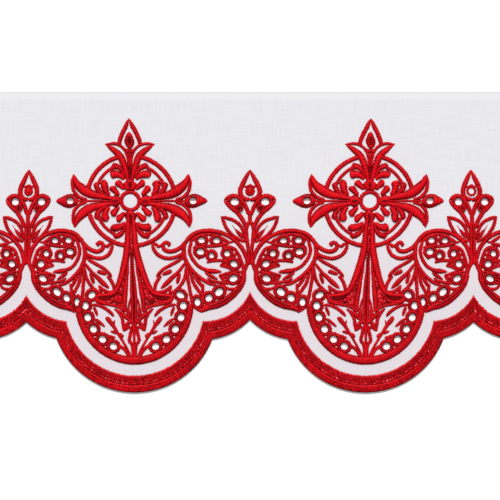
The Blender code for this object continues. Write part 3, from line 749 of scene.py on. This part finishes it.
@dataclass(frozen=True)
class Foot:
    """The shaft that splays into two feet, with the spear between them."""

    axis: ClassVar[Strokes] = {
        Stitch.FILL: (((0, -14, 2.2), (0, -40, 3.0), (0, -52, 3.4), (0, -60, 2.6)),),
        Stitch.CORD: (
            ((0, -36, 0.8), (-0.4, -50, 1.4), (-1.0, -64, 1.8), (-1.4, -79, 2.0), (-1.3, -90, 2.0),
             (-0.8, -100, 1.6), (0, -108, 1.0)),
            ((0.5, -52, 0.8), (1.0, -64, 1.6), (1.4, -79, 2.0), (1.3, -90, 2.0), (0.8, -100, 1.6),
             (0, -108, 1.0)),
            ((0, -104, 1.2), (0, -116, 1.4), (0, -126, 2.0)),
        ),
        Stitch.DARK: (((0, -40, 0.8), (0, -60, 1.0), (0, -80, 1.4), (0, -98, 0.8)),),
    }
    side: ClassVar[Strokes] = {
        Stitch.FILL: (
            ((4.6, -46, 1.6), (6.0, -55.2, 3.4), (8.2, -63.2, 5.4), (10.6, -70.0, 7.2),
             (12.0, -75.6, 9.0), (12.0, -79.6, 8.6), (10.4, -84.6, 4.0)),
            ((12.0, -76.4, 9.6), (18.0, -78.2, 8.0), (22.6, -79.0, 6.4), (27.4, -78.4, 4.4)),
        ),
        Stitch.HOLLOW: (
            ((6.8, -52.0, 1.2), (9.2, -60.4, 2.2), (12.0, -67.4, 3.2), (15.4, -73.2, 4.2),
             (19.6, -76.8, 4.4), (24.0, -78.0, 4.0), (28.0, -78.2, 2.6)),
        ),
        Stitch.PETAL: (
            ((1.9, -14.4, 1.8), (2.5, -23, 2.8), (2.9, -31.2, 3.4), (3.6, -39.2, 4.2), (5.2, -47.2, 4.4),
             (7.4, -55.2, 4.2), (10.0, -63.2, 3.8), (12.8, -69.6, 3.4), (16.2, -73.6, 2.6),
             (22.0, -75.2, 2.2), (27.6, -75.6, 2.2), (30.4, -77.4, 2.0), (28.0, -80.0, 1.8),
             (22.0, -81.0, 1.6)),
        ),
        Stitch.CORD: (
            ((2.9, -47, 0.6), (3.9, -55.2, 1.4), (5.2, -63.2, 2.0), (6.3, -71, 2.8), (7.4, -79, 3.2),
             (7.6, -84, 2.6), (7.2, -89.0, 1.2)),
            ((7.6, -88.6, 1.4), (11.0, -85.4, 1.8), (15.2, -83.6, 1.8), (21.0, -82.6, 1.6),
             (27.0, -81.4, 1.4), (31.0, -80.0, 1.2)),
        ),
        Stitch.VEIN: (
            ((2.2, -77.4, 0.8), (3.4, -80.4, 1.0), (4.4, -85.0, 1.2), (4.6, -89.4, 2.4), (4.0, -93.6, 2.2)),
            ((0.4, -96.8, 1.4), (3.6, -95.0, 2.0), (6.6, -92.6, 2.6), (9.4, -89.8, 2.0),
             (10.6, -88.0, 1.0)),
            ((0.6, -95.4, 2.4), (4.6, -97.6, 2.4), (7.6, -101.6, 1.8), (8.8, -104.4, 0.8)),
        ),
    }

    def motif(self) -> Motif:
        """Draw the left unit's foot."""
        made = Motif("foot_left")
        for share in (1.0, -1.0):
            made.draw(self.side, Place(UNIT_X, share, LEAN))
        made.draw(self.axis, Place(UNIT_X, 1.0, LEAN))
        return made


@dataclass(frozen=True)
class Bowl:
    """The round bowl, with its leaves and the eyelets along its wall."""

    centre: tuple[float, float] = (0.2, -80.8)
    half_width: float = 45.0
    depth: float = 46.9
    cord: tuple[float, float] = (4.0, 5.4)
    eyelet_radius: float = 39.3
    eyelet_angles: tuple[float, ...] = (-4.2, -18.2, -33.4, -49.4, -64.6)
    eyelet_size: tuple[float, float] = (3.3, 3.0)
    side: ClassVar[Strokes] = {
        Stitch.VEIN: (
            ((0.8, -127.4, 1.8), (1.0, -119.0, 1.8), (1.8, -114.8, 1.8), (3.8, -111.8, 1.8),
             (3.2, -107.6, 1.8), (2.4, -103.4, 1.8), (3.2, -100.0, 1.4)),
            ((3.2, -100.0, 1.4), (5.2, -101.2, 1.8), (8.4, -104.2, 0.8)),
            ((8.4, -104.2, 0.8), (8.8, -98.6, 1.8), (9.6, -93.6, 1.8), (12.2, -89.0, 1.8),
             (15.6, -86.0, 0.8)),
            ((15.6, -86.0, 0.8), (16.2, -92.6, 0.8)),
            ((16.2, -92.6, 0.8), (18.6, -89.6, 1.8), (22.6, -86.3, 1.8), (28, -83.6, 1.8),
             (33.6, -83.2, 1.2)),
            ((32.2, -84.6, 1.2), (30.6, -88.4, 1.6), (29.4, -92.2, 0.8)),
            ((29.4, -92.2, 0.8), (32.0, -94.2, 1.2)),
            ((32.0, -94.2, 1.2), (28.2, -96.8, 1.8), (23.4, -100.8, 0.8)),
            ((23.4, -100.8, 0.8), (29.0, -100.6, 1.4)),
            ((27.2, -106.4, 1.2), (21.6, -108.0, 1.8), (15.0, -109.4, 0.8)),
            ((15.0, -109.4, 0.8), (19.2, -110.2, 1.4), (22.4, -110.6, 1.2)),
            ((3.0, -126.8, 1.8), (7.4, -119.2, 1.8), (12.2, -115.8, 1.8), (16.2, -112.4, 1.8),
             (20.8, -111.0, 1.4)),
            ((9.2, -109.6, 2.0), (10.6, -107.4, 2.0), (13.0, -105.8, 1.0)),
            ((13.4, -106.2, 1.0), (16.0, -105.2, 1.4), (18.8, -104.0, 1.0)),
            ((15.4, -95.2, 0.6), (16.0, -98.0, 0.8), (16.6, -100.6, 0.8)),
        ),
        Stitch.CORD: (
            ((1.8, -126.8, 1.2), (5.2, -119.4, 1.2), (9.4, -111.8, 1.2), (13.6, -105.0, 1.4),
             (17.0, -99.4, 2.0), (20.0, -95.6, 2.8), (22.2, -92.6, 1.6)),
        ),
    }

    def motif(self) -> Motif:
        """Draw the left unit's bowl."""
        made = Motif("bowl_left")
        x, y = self.centre
        for share in (1.0, -1.0):
            place = Place(UNIT_X, share, LEAN)
            middle = (x * share, y)
            wall = arc(self.half_width, self.depth, self.cord, (-2, -93), middle)
            made.draw({Stitch.PAIR: (wall,)}, place)
            made.draw(self.side, place)
            for angle in self.eyelet_angles:
                turn = math.radians(angle)
                out, up = self.eyelet_radius * math.cos(turn), self.eyelet_radius * math.sin(turn)
                made.pierce(((middle[0] + out, y + up, *self.eyelet_size, angle + 90),), place)
        return made


@dataclass(frozen=True)
class Roundel:
    """A scroll with its leaf, and the openwork roundel beside it."""

    outer_share: float = 0.895
    scroll: ClassVar[Strokes] = {
        Stitch.CORD: (
            ((44.4, -32.0, 2.4), (40.2, -36.6, 2.4), (35.0, -39.6, 2.4), (30.2, -40.4, 2.4),
             (26.6, -39.0, 2.4), (25.2, -36.2, 2.2), (26.2, -34.0, 2.0), (28.2, -33.2, 2.0),
             (30.0, -34.6, 2.2), (29.0, -36.2, 1.8)),
            ((16.5, -33.6, 0.8), (17.8, -38.4, 1.8), (20.1, -42.2, 2.0), (23.8, -44.8, 2.0),
             (28.9, -46.0, 2.0), (34.5, -45.2, 2.0), (39.4, -43.2, 2.0), (42.4, -40.6, 1.6)),
            ((44.4, -48.0, 1.4), (41.0, -51.6, 1.4), (36.5, -57.0, 1.8), (31.5, -61.4, 2.4),
             (26.8, -65.8, 2.8), (21.7, -70.2, 0.6)),
        ),
        Stitch.VEIN: (
            ((16.5, -33.8, 1.2), (19.7, -34.8, 1.5), (21.7, -36.4, 1.6), (25.0, -35.0, 1.2)),
            ((42.4, -43.2, 1.6), (37.2, -47.8, 1.8), (30.6, -51.4, 1.8), (24.9, -54.6, 1.8),
             (21.5, -57.8, 1.8), (18.6, -61.0, 0.8)),
            ((18.6, -61.0, 0.8), (22.8, -59.8, 1.6)),
            ((22.8, -59.8, 1.4), (19.8, -63.4, 1.8), (17.6, -68.0, 1.8), (16.8, -73.2, 1.4)),
            ((16.6, -73.0, 1.4), (22.8, -72.8, 1.8), (27.5, -70.8, 1.8), (30.8, -67.4, 0.8)),
            ((30.8, -67.4, 0.8), (29.3, -71.2, 1.4), (28.9, -74.4, 1.2)),
            ((28.9, -74.2, 1.2), (33.8, -71.6, 1.8), (38.6, -66.8, 1.8), (41.8, -60.8, 1.8),
             (43.4, -53.6, 1.8), (45.6, -50.4, 1.6)),
            ((23.4, -59.2, 0.8), (27.5, -57.4, 2.4), (31.6, -56.0, 2.0)),
            ((37.9, -57.6, 1.2), (36.2, -62.8, 2.0), (35.1, -66.4, 1.0)),
            ((36.0, -68.4, 2.2), (36.6, -71.6, 2.2)),
        ),
    }
    body: ClassVar[Strokes] = {
        Stitch.FILL: (
            ((71.0, -51.8, 0.8), (75.0, -50.8, 3.2), (78.6, -50.0, 4.6)),
            ((69.8, -59.8, 1.0), (73.4, -61.2, 4.2), (76.4, -62.0, 5.4)),
            ((51.0, -34.6, 2.0), (52.6, -37.4, 3.4), (52.2, -41.0, 2.4)),
            ((71.6, -37.6, 1.2), (73.6, -39.6, 2.4)),
        ),
        Stitch.CORD: (
            ((43.2, -33.0, 2.4), (49.2, -27.0, 2.4), (55.4, -24.6, 2.4), (61.6, -23.8, 2.4),
             (68.0, -24.4, 2.4), (74.0, -26.2, 2.4), (80.0, -29.2, 2.4), (84.6, -33.0, 2.4),
             (88.5, -38.0, 2.4), (91.0, -43.6, 2.4), (92.2, -48.6, 2.2), (90.8, -53.0, 2.2),
             (89.1, -56.8, 2.6), (88.3, -63.0, 3.4), (84.9, -69.2, 4.2), (79.8, -74.6, 4.6),
             (73.3, -79.6, 5.0), (66.2, -83.0, 5.0), (59.2, -84.8, 4.6), (53.6, -87.6, 2.6)),
            ((43.0, -32.4, 2.0), (41.8, -39.2, 2.4), (42.1, -44.8, 2.4), (44.1, -50.2, 2.4),
             (47.1, -55.0, 2.4), (51.8, -59.8, 2.2), (57.2, -63.8, 2.0), (61.8, -66.2, 1.8),
             (66.8, -67.4, 0.8)),
            ((48.0, -32.6, 1.6), (46.4, -39.2, 1.8), (47.3, -44.0, 1.8), (49.8, -48.6, 1.8),
             (53.6, -52.6, 1.8), (59.0, -55.2, 2.0), (64.5, -56.2, 2.8), (71.5, -56.8, 0.6)),
        ),
        Stitch.DARK: (
            ((87.4, -64.2, 0.6), (84.4, -69.4, 1.0), (79.3, -74.6, 1.2), (72.9, -79.3, 1.4),
             (66.0, -82.6, 1.2), (60.0, -84.2, 0.8)),
        ),
        Stitch.VEIN: (
            ((72.0, -37.2, 1.2), (77.4, -36.8, 1.8), (82.6, -38.8, 1.8), (85.6, -43.6, 1.8),
             (87.6, -48.8, 1.8), (88.6, -53.4, 1.8), (88.8, -57.0, 1.6)),
            ((83.8, -42.0, 1.4), (80.4, -45.6, 1.4), (76.6, -47.4, 1.4)),
            ((46.9, -33.6, 1.6), (50.2, -29.9, 1.8), (55.1, -27.4, 1.8), (60.8, -26.6, 1.8),
             (66.3, -27.2, 1.8), (71.0, -29.2, 1.8), (75.0, -31.4, 1.8), (78.8, -33.2, 0.8)),
            ((82.0, -32.8, 0.8), (78.8, -33.2, 1.2), (74.1, -34.8, 1.8), (64.5, -36.2, 1.8),
             (58.1, -35.8, 1.8), (54.1, -33.8, 1.8), (50.6, -30.8, 1.2)),
            ((50.0, -36.0, 1.2), (51.2, -42.0, 1.6), (54.4, -46.8, 1.4)),
            ((54.4, -46.8, 1.2), (59.8, -43.6, 1.2)),
            ((59.8, -43.6, 1.0), (59.5, -49.2, 1.2)),
            ((59.5, -49.2, 1.2), (65.6, -47.8, 1.6), (73.2, -47.6, 1.6), (77.6, -46.6, 1.2)),
            ((76.6, -47.6, 1.2), (73.2, -49.2, 1.2), (70.0, -52.2, 0.8)),
            ((70.0, -52.2, 0.8), (75.0, -52.8, 1.4), (79.0, -54.6, 1.4), (82.2, -56.4, 1.4),
             (85.6, -56.6, 1.4), (88.8, -58.0, 1.2)),
            ((80.6, -56.6, 1.4), (77.2, -57.4, 1.4), (73.2, -58.6, 1.4), (68.8, -59.4, 0.8)),
            ((68.8, -59.4, 0.8), (71.3, -62.6, 1.2), (74.4, -65.2, 1.2)),
            ((71.4, -66.2, 1.2), (75.2, -70.0, 1.4), (80.6, -70.6, 1.8), (84.4, -68.8, 2.0)),
            ((79.4, -66.6, 1.2), (80.4, -70.8, 1.6)),
            ((59.4, -61.6, 1.0), (63.3, -64.0, 1.6), (69.6, -65.2, 1.6), (77.5, -65.8, 1.4),
             (83.6, -65.4, 1.0)),
            ((58.0, -56.4, 1.0), (61.8, -59.6, 2.2), (67.9, -63.0, 0.8)),
            ((63.1, -66.4, 1.2), (64.5, -70.6, 1.4)),
            ((55.8, -66.0, 1.4), (55.3, -74.0, 1.6), (55.0, -83.0, 1.6)),
            ((56.6, -68.8, 1.2), (59.9, -72.2, 1.4)),
            ((44.6, -51.0, 1.4), (43.8, -60.0, 1.8), (44.7, -68.0, 1.8), (45.8, -76.0, 1.8),
             (47.4, -83.2, 1.8), (51.2, -86.6, 1.8), (55.0, -89.4, 0.8)),
            ((46.3, -54.8, 1.6), (47.8, -64.0, 1.8), (51.1, -70.4, 1.8), (55.8, -77.0, 1.4)),
            ((49.0, -59.2, 1.0), (52.0, -64.0, 2.2), (55.2, -69.2, 1.0)),
        ),
    }
    scroll_eyelets: Eyelets = ((37.4, -75.2, 2.7, 3.7, 60),)
    eyelets: Eyelets = (
        (56.2, -31.4, 3.1, 2.4, 0),
        (68.2, -31.6, 3.1, 2.3, 0),
        (55.1, -40.6, 3.3, 2.6, 0),
        (63.8, -43.6, 2.3, 2.3, 0),
        (76.3, -42.0, 2.6, 2.6, 0),
        (81.5, -50.4, 3.2, 2.7, -20),
        (80.5, -62.0, 3.8, 2.7, 20),
        (68.4, -72.8, 4.0, 3.0, 40),
        (60.1, -77.6, 3.4, 2.9, 40),
        (50.8, -80.8, 2.6, 3.4, 0),
    )

    def motif(self, name: str, inner: bool) -> Motif:
        """Draw the roundel on the inner or the outer side of the left unit."""
        made = Motif(name)
        place = Place(UNIT_X, 1.0 if inner else -self.outer_share, LEAN)
        made.draw(self.scroll, place)
        made.draw(self.body, place)
        made.pierce(self.eyelets + self.scroll_eyelets, place)
        return made


@dataclass(frozen=True)
class Fleuron:
    """The fleuron that stands between two units, slimmer at the cut ends."""

    end_shift: float = 1.6
    end_share: float = 0.86
    end_lean: float = 0.024
    ball: ClassVar[Strokes] = {
        Stitch.CORD: (arc(2.5, 2.5, (1.8, 1.8), (-90, 270), (0, 7.8)),),
        Stitch.PETAL: (((0, 9.9, 1.6), (0, 8.8, 3.0), (0, 7.8, 3.4), (0, 6.8, 3.0), (0, 5.7, 1.6)),),
    }
    open_ball: ClassVar[Strokes] = {
        Stitch.CORD: (arc(3.7, 3.2, (1.1, 1.1), (-90, 270), (0, 7.8)),),
    }
    stem: ClassVar[Strokes] = {
        Stitch.CORD: (
            ((0, -15.6, 1.6), (-3.0, -22.4, 2.2), (-2.4, -31.2, 2.2), (-1.4, -39.2, 1.8),
             (-0.8, -50.8, 1.8)),
        ),
    }
    slim_stem: ClassVar[Strokes] = {
        Stitch.CORD: (
            ((0, -14.6, 1.4), (-1.5, -22.4, 1.8), (-1.5, -31.2, 1.8), (-1.4, -39.2, 1.8),
             (-0.9, -50.8, 1.8)),
        ),
    }
    axis: ClassVar[Strokes] = {
        Stitch.CORD: (((0, -8.6, 1.0), (0, -11.6, 2.2), (0, -16.8, 1.8)),),
        Stitch.VEIN: (
            ((-5.4, 12.4, 0.6), (-3.0, 11.2, 1.2), (0, 12.4, 1.2), (3.0, 11.2, 1.2), (5.4, 12.4, 0.6)),
        ),
    }
    side: ClassVar[Strokes] = {
        Stitch.CORD: (
            ((0, 25.2, 0.2), (-1.4, 22.0, 1.4), (-3.8, 17.4, 2.6), (-6.4, 12.4, 2.8), (-7.8, 8.0, 2.8),
             (-7.0, 4.2, 2.6), (-4.2, 1.8, 2.4), (0, 0.8, 2.4)),
            ((-21.0, 0.8, 0.4), (-17.0, 3.0, 2.2), (-12.6, 4.0, 2.4), (-8.2, 2.2, 2.4),
             (-5.0, -1.6, 2.4), (-2.8, -5.8, 2.4), (-0.8, -11.2, 2.0)),
            ((-21.0, 0.8, 0.4), (-18.0, -2.4, 2.0), (-14.4, -5.8, 2.4), (-10.6, -8.8, 2.4),
             (-7.4, -12.8, 2.4), (-5.0, -16.8, 2.4), (-3.0, -21.6, 2.2)),
        ),
        Stitch.HOLLOW: (
            ((-18.8, 0.4, 2.0), (-15.6, -0.2, 6.4), (-12.2, -0.6, 8.6), (-9.0, -1.4, 7.6),
             (-6.6, -4.4, 5.0)),
        ),
        Stitch.KNOT: (arc(2.5, 2.2, (1.5, 1.5), (0, 360), (-8.6, -5.6)),),
        Stitch.DARK: (((-10.3, -4.8, 1.2), (-8.6, -5.6, 3.0), (-6.9, -6.4, 1.2)),),
        Stitch.VEIN: (
            ((-23.4, -12.2, 0.2), (-19.0, -13.6, 1.8), (-13.4, -15.4, 1.8), (-8.8, -18.6, 1.8),
             (-5.8, -23.2, 1.8), (-3.6, -31.2, 1.6)),
            ((-23.4, -12.2, 0.2), (-21.4, -15.8, 1.6), (-19.8, -20.0, 1.8), (-17.2, -24.0, 1.8),
             (-13.0, -28.2, 1.8), (-8.0, -31.0, 1.6), (-3.6, -32.8, 1.4)),
            ((-14.4, -19.2, 0.2), (-12.4, -21.8, 0.3), (-10.2, -24.4, 1.4), (-7.6, -27.2, 2.4),
             (-5.2, -30.2, 0.6)),
        ),
    }
    eyelets: Eyelets = ((-12.2, -0.6, 3.7, 3.1, 0),)

    def motif(self, name: str, place: Place, stem: Strokes, ball: Strokes) -> Motif:
        """Draw a fleuron at a place, with one of the stems and one of the balls."""
        made = Motif(name)
        for share in (place.share, -place.share):
            half = Place(place.axis, share, place.lean)
            made.draw(self.side, half)
            made.draw(stem, half)
            made.pierce(self.eyelets, half)
        for strokes in (ball, self.axis):
            made.draw(strokes, place)
        return made

    def end(self, name: str, side: int, ball: Strokes) -> Motif:
        """Draw the fleuron at a cut end: side is -1 for the left one and 1 for the right one."""
        lean = -side * 100 * self.end_lean
        axis = -side * (END_FLEURON_X + self.end_shift)
        place = Place(axis, self.end_share, ((-100.0, -lean), (100.0, lean)))
        return self.motif(name, place, self.slim_stem, ball)


@dataclass(frozen=True)
class ScallopRow:
    """One line of the scallops, from the big one under a unit to the small ones beside it."""

    big_radius: float
    big_y: float
    small_radius: float
    small_y: float
    inner_x: float
    outer_x: float
    # About how long each scallop is, in millimetres, from the left cut end to the right one.
    spans: ClassVar[tuple[float, ...]] = (12.0, 66.0, 138.0, 66.0, 66.0, 138.0, 66.0, 12.0)

    def line(self, step: float = 0.55) -> np.ndarray:
        """The line from the left cut end to the right one, as rows of x and y on the cloth.

        Args:
            step: The distance between rows on a line of the border's outer edge.

        Returns:
            The rows; every scallop line has the same number of them.
        """
        left = [
            (2 * END_FLEURON_X - self.outer_x, self.small_y, self.small_radius),
            (self.outer_x, self.small_y, self.small_radius),
            (SCALLOP_X, self.big_y, self.big_radius),
            (self.inner_x, self.small_y, self.small_radius),
        ]
        circles = left + [(-x, y, radius) for x, y, radius in reversed(left)]
        x, y, radius = circles[0]
        corners = [(-HALF_LENGTH, y - math.sqrt(radius**2 - (HALF_LENGTH + x) ** 2))]
        corners += [self.meeting(a, b) for a, b in zip(circles, circles[1:])]
        corners.append((HALF_LENGTH, corners[0][1]))
        rows = []
        for (x, y, radius), start, stop, span in zip(circles, corners, corners[1:], self.spans):
            first = math.atan2(start[1] - y, start[0] - x) % math.tau
            last = math.atan2(stop[1] - y, stop[0] - x) % math.tau
            turn = np.linspace(first, last, round(span / step), endpoint=False)
            rows.append(np.stack([x + radius * np.cos(turn), y + radius * np.sin(turn)], axis=1))
        line = np.vstack([*rows, [corners[-1]]])
        line[:, 1] += CROSS_Y
        return line

    @staticmethod
    def meeting(first: tuple[float, ...], second: tuple[float, ...]) -> tuple[float, float]:
        """The lower point where two circles (x, y, radius) cross."""
        gap = math.hypot(second[0] - first[0], second[1] - first[1])
        along = (first[2] ** 2 - second[2] ** 2 + gap**2) / (2 * gap)
        off = math.sqrt(first[2] ** 2 - along**2)
        ux, uy = (second[0] - first[0]) / gap, (second[1] - first[1]) / gap
        x, y = first[0] + along * ux, first[1] + along * uy
        return min((x - off * uy, y + off * ux), (x + off * uy, y - off * ux), key=lambda point: point[1])


OUTER_EDGE = ScallopRow(66.8, -86.6, 52.0, -59.2, -37.6, -143.2)


def bell(s: np.ndarray, middle: float, spread: float) -> np.ndarray:
    """A soft bump across a band, one at its middle."""
    return np.exp(-(((s - middle) / spread) ** 2))


@dataclass(frozen=True)
class Border:
    """The scalloped border: a speckled band of filling stitches inside a padded rim.

    Attributes:
        across: The number of vertices across the filling, and across the rim's back.
        wall: How far the rim's last rows go down the cut edge, as shares of its height.
    """

    inner: ScallopRow = ScallopRow(55.9, -83.7, 39.2, -56.8, -36.0, -144.2)
    groove: ScallopRow = ScallopRow(62.3, -85.3, 46.6, -58.2, -36.8, -143.7)
    outer: ScallopRow = OUTER_EDGE
    fill_height: float = 0.75
    rim_height: float = 0.8
    fill_shade: float = 0.62
    rim_shade: float = 0.56
    across: tuple[int, int] = (14, 15)
    wall: tuple[float, float] = (-0.6, -0.88)

    def fill(self, finish: Material) -> Object:
        """Stitch the filled band, with pale flecks.

        A painted highlight runs along the stitch tips of its inner edge, and painted shade
        deepens it beside the groove.
        """
        rng = np.random.default_rng(71)
        inner, outer = self.inner.line(), self.groove.line()
        count, across = len(inner), self.across[0]
        s = np.linspace(0, 1, across)
        crest = np.where(np.arange(count) % 2, -1.0, 1.0)[:, None]
        start = rng.uniform(-0.04, 0.04, (count, 1)) - 0.05 * crest
        spread = start + (1.03 - start) * s
        spots = inner[:, None] + (outer - inner)[:, None] * spread[..., None]
        grain = rng.uniform(-1, 1, (count, across))
        dome = np.sqrt(np.maximum(1 - np.abs(2 * s - 1) ** 8, 0))
        height = LINEN_TOP - SUNK + self.fill_height * dome * (1 + 0.22 * grain + 0.05 * crest)
        # Painted highlight on the stitch tips along the inner edge, and painted shade beside the groove.
        shade = self.fill_shade + 0.38 * grain - 0.42 * bell(s, 0.1, 0.07746)
        shade = np.clip(shade + 0.25 * bell(s, 0.95, 0.063246), 0, 1)
        # Linen shows as a dotted line beside the rim, and here and there in the middle.
        shade[(rng.random(shade.shape) < 0.22) & (np.abs(s - 0.8) < 0.05)] = -0.7
        shade[(rng.random(shade.shape) < 0.02) & (np.abs(s - 0.5) < 0.3)] = -0.5
        mesh = Mesh()
        mesh.add_band(spots, height, shade)
        return stitched(mesh, "border_fill", finish)

    def rim(self, finish: Material) -> Object:
        """Stitch the padded rim, which wraps the cut edge of the linen."""
        rng = np.random.default_rng(72)
        inner, outer = self.groove.line(), self.outer.line()
        count, across = len(inner), self.across[1]
        s = np.concatenate([np.linspace(0, 1, across), [1.0, 1.0]])
        overlap = -0.04 * (1 - s)
        spots = inner[:, None] + (outer - inner)[:, None] * (s + overlap)[None, :, None]
        dome = np.sqrt(np.maximum(1 - np.abs(2 * s - 1) ** 4, 0))
        dome[-2:] = self.wall
        rows = np.repeat(rng.uniform(-1, 1, count // 2 + 1), 2)[:count, None]
        specks = rng.uniform(-1, 1, (count // 2 + 1, across // 2 + 2))
        grain = rows * 0.10 + 0.28 * specks.repeat(2, axis=0).repeat(2, axis=1)[:count, : across + 2]
        height = LINEN_TOP - SUNK + self.rim_height * dome * (1 + 0.05 * rows)
        # Painted highlights: a bright line follows the groove and a fainter one the back;
        # painted shade deepens the foot.
        lines = 0.38 * bell(s, 0.12, 0.08) + 0.10 * bell(s, 0.62, 0.2)
        shade = np.clip(self.rim_shade - lines + 0.3 * s**6 + grain, 0, 1)
        mesh = Mesh()
        mesh.add_band(spots, height, shade)
        return stitched(mesh, "border_rim", finish)


@dataclass(frozen=True)
class LinenGround:
    """The linen band itself: one thin sheet with a scalloped edge and a hole in each eyelet."""

    outline: ScallopRow = OUTER_EDGE
    thickness: float = LINEN_TOP
    edge_step: float = 1.6
    hole_share: float = 1.04

    def build(self, holes: list[np.ndarray], finish: Material) -> Object:
        """Cut the sheet.

        Args:
            holes: The eyelets' edges.
            finish: The linen's material.

        Returns:
            The sheet's object.
        """
        corners = np.array([(HALF_LENGTH, TOP_EDGE_Y), (-HALF_LENGTH, TOP_EDGE_Y)])
        rings = [np.vstack([self.outline.line(self.edge_step), corners])]
        for ring in filter(within, holes):
            middle = ring.mean(axis=0)
            rings.append(middle + (ring - middle) * self.hole_share)
        points: list[Vector] = []
        edges: list[tuple[int, int]] = []
        for ring in rings:
            first = len(points)
            points += [Vector(point) for point in ring.tolist()]
            edges += [(first + step, first + (step + 1) % len(ring)) for step in range(len(ring))]
        vertices, _, triangles, _, _, _ = geometry.delaunay_2d_cdt(points, edges, [], 0, 0.001)
        flat = np.array([(point.x, point.y) for point in vertices])
        middles = flat[np.array(triangles)].mean(axis=1)
        odd = np.logical_xor.reduce([inside(ring, *middles.T) for ring in rings])
        used, kept = np.unique(np.array(triangles)[odd], return_inverse=True)
        kept = kept.reshape(-1, 3)
        count = len(used)
        places = np.tile(np.column_stack([flat[used], np.zeros(count)]), (2, 1))
        places[count:, 2] = self.thickness
        sides = [(int(face[at]), int(face[at - 2])) for face in kept for at in range(3)]
        shared = set(sides)
        walls = [(a, b, b + count, a + count) for a, b in sides if (b, a) not in shared]
        faces = [*kept[:, ::-1].tolist(), *(kept + count).tolist(), *walls]
        mesh = bpy.data.meshes.new("linen_sheet")
        mesh.from_pydata((places * MM).tolist(), [], faces)
        mesh.materials.append(finish)
        obj = add_object("linen_sheet", mesh)
        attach(obj, "root")
        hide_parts("linen_ground")
        return obj


@dataclass(frozen=True)
class Studio:
    """A white paper floor, a soft key light from the upper edge of the picture, and a camera above.

    The lens is long, so that the flat cloth shows no slant. View width and floor reach are metres.
    """

    view_width: float = 0.4
    lens: float = 225.0
    sensor: float = 36.0
    centre_y: float = -6.24
    face: float = 1.5
    floor_reach: float = 1.5
    floor_drop: float = 0.05
    sun_height: float = 42.0
    sun_angle: float = 20.0
    sun_strength: float = 3.82
    sky_strength: float = 0.44

    def build(self) -> None:
        """Set up the floor, the lights and the camera."""
        scene = bpy.context.scene
        floor_mesh = bpy.data.meshes.new("floor")
        far = self.floor_reach
        corners = [(-far, -far, 0), (far, -far, 0), (far, far, 0), (-far, far, 0)]
        floor_mesh.from_pydata(corners, [], [(0, 1, 2, 3)])
        floor_mesh.materials.append(FloorFinish().material())
        floor = add_object("floor", floor_mesh)
        floor.location.z = -self.floor_drop * MM

        sun = bpy.data.lights.new("key", "SUN")
        sun.energy = self.sun_strength
        sun.angle = math.radians(self.sun_angle)
        add_object("key", sun).rotation_euler = (-math.radians(90 - self.sun_height), 0, 0)

        world = bpy.data.worlds.new("soft_room")
        world.use_nodes = True
        back = world.node_tree.nodes["Background"]
        back.inputs["Color"].default_value = (1.0, 1.0, 1.0, 1.0)
        back.inputs["Strength"].default_value = self.sky_strength
        scene.world = world

        eye = bpy.data.cameras.new("camera")
        eye.lens = self.lens
        eye.sensor_width = self.sensor
        camera = add_object("camera", eye)
        distance = self.view_width * self.lens / self.sensor
        camera.location = (0.0, self.centre_y * MM, distance + self.face * MM)
        scene.camera = camera
        scene.view_settings.view_transform = "Standard"


def draw_motifs() -> list[Motif]:
    """Draw every motif of the cloth: the left half, its mirror image, and the middle."""
    roundel = Roundel()
    fleuron = Fleuron()
    outer = roundel.motif("roundel_left_outer", inner=False)
    left = [
        Cross().motif(),
        Foot().motif(),
        Bowl().motif(),
        roundel.motif("roundel_left_inner", inner=True),
        outer,
        outer.mirrored("roundel_left_end", END_FLEURON_X),
        fleuron.end("fleuron_left", -1, fleuron.ball),
    ]
    right = [motif.mirrored(motif.name.replace("left", "right")) for motif in left[:-1]]
    right.append(fleuron.end("fleuron_right", 1, fleuron.open_ball))
    upright = Place(0.0, 1.0, ((-100.0, 0.0), (100.0, 0.0)))
    return [*left, *right, fleuron.motif("fleuron_middle", upright, fleuron.stem, fleuron.ball)]


def main() -> None:
    """Build the pieces in order, dress them and set up the picture."""
    logging.basicConfig(level=logging.INFO, format="%(message)s")
    thread = ThreadFinish().material()
    motifs = draw_motifs()
    holes = [ring for motif in motifs for ring in motif.holes]
    linen = LinenGround().build(holes, LinenFinish().material())
    LOG.info("linen ground: %d faces, %d eyelets", len(linen.data.polygons), sum(map(within, holes)))

    border = Border()
    pieces = [border.fill(thread), border.rim(thread)]
    for seed, motif in enumerate(motifs):
        pieces.append(motif.embroider(thread, holes, seed))
    for piece in pieces:
        LOG.info("%s: %d faces", piece.name, len(piece.data.polygons))

    Studio().build()


if __name__ == "__main__":
    main()
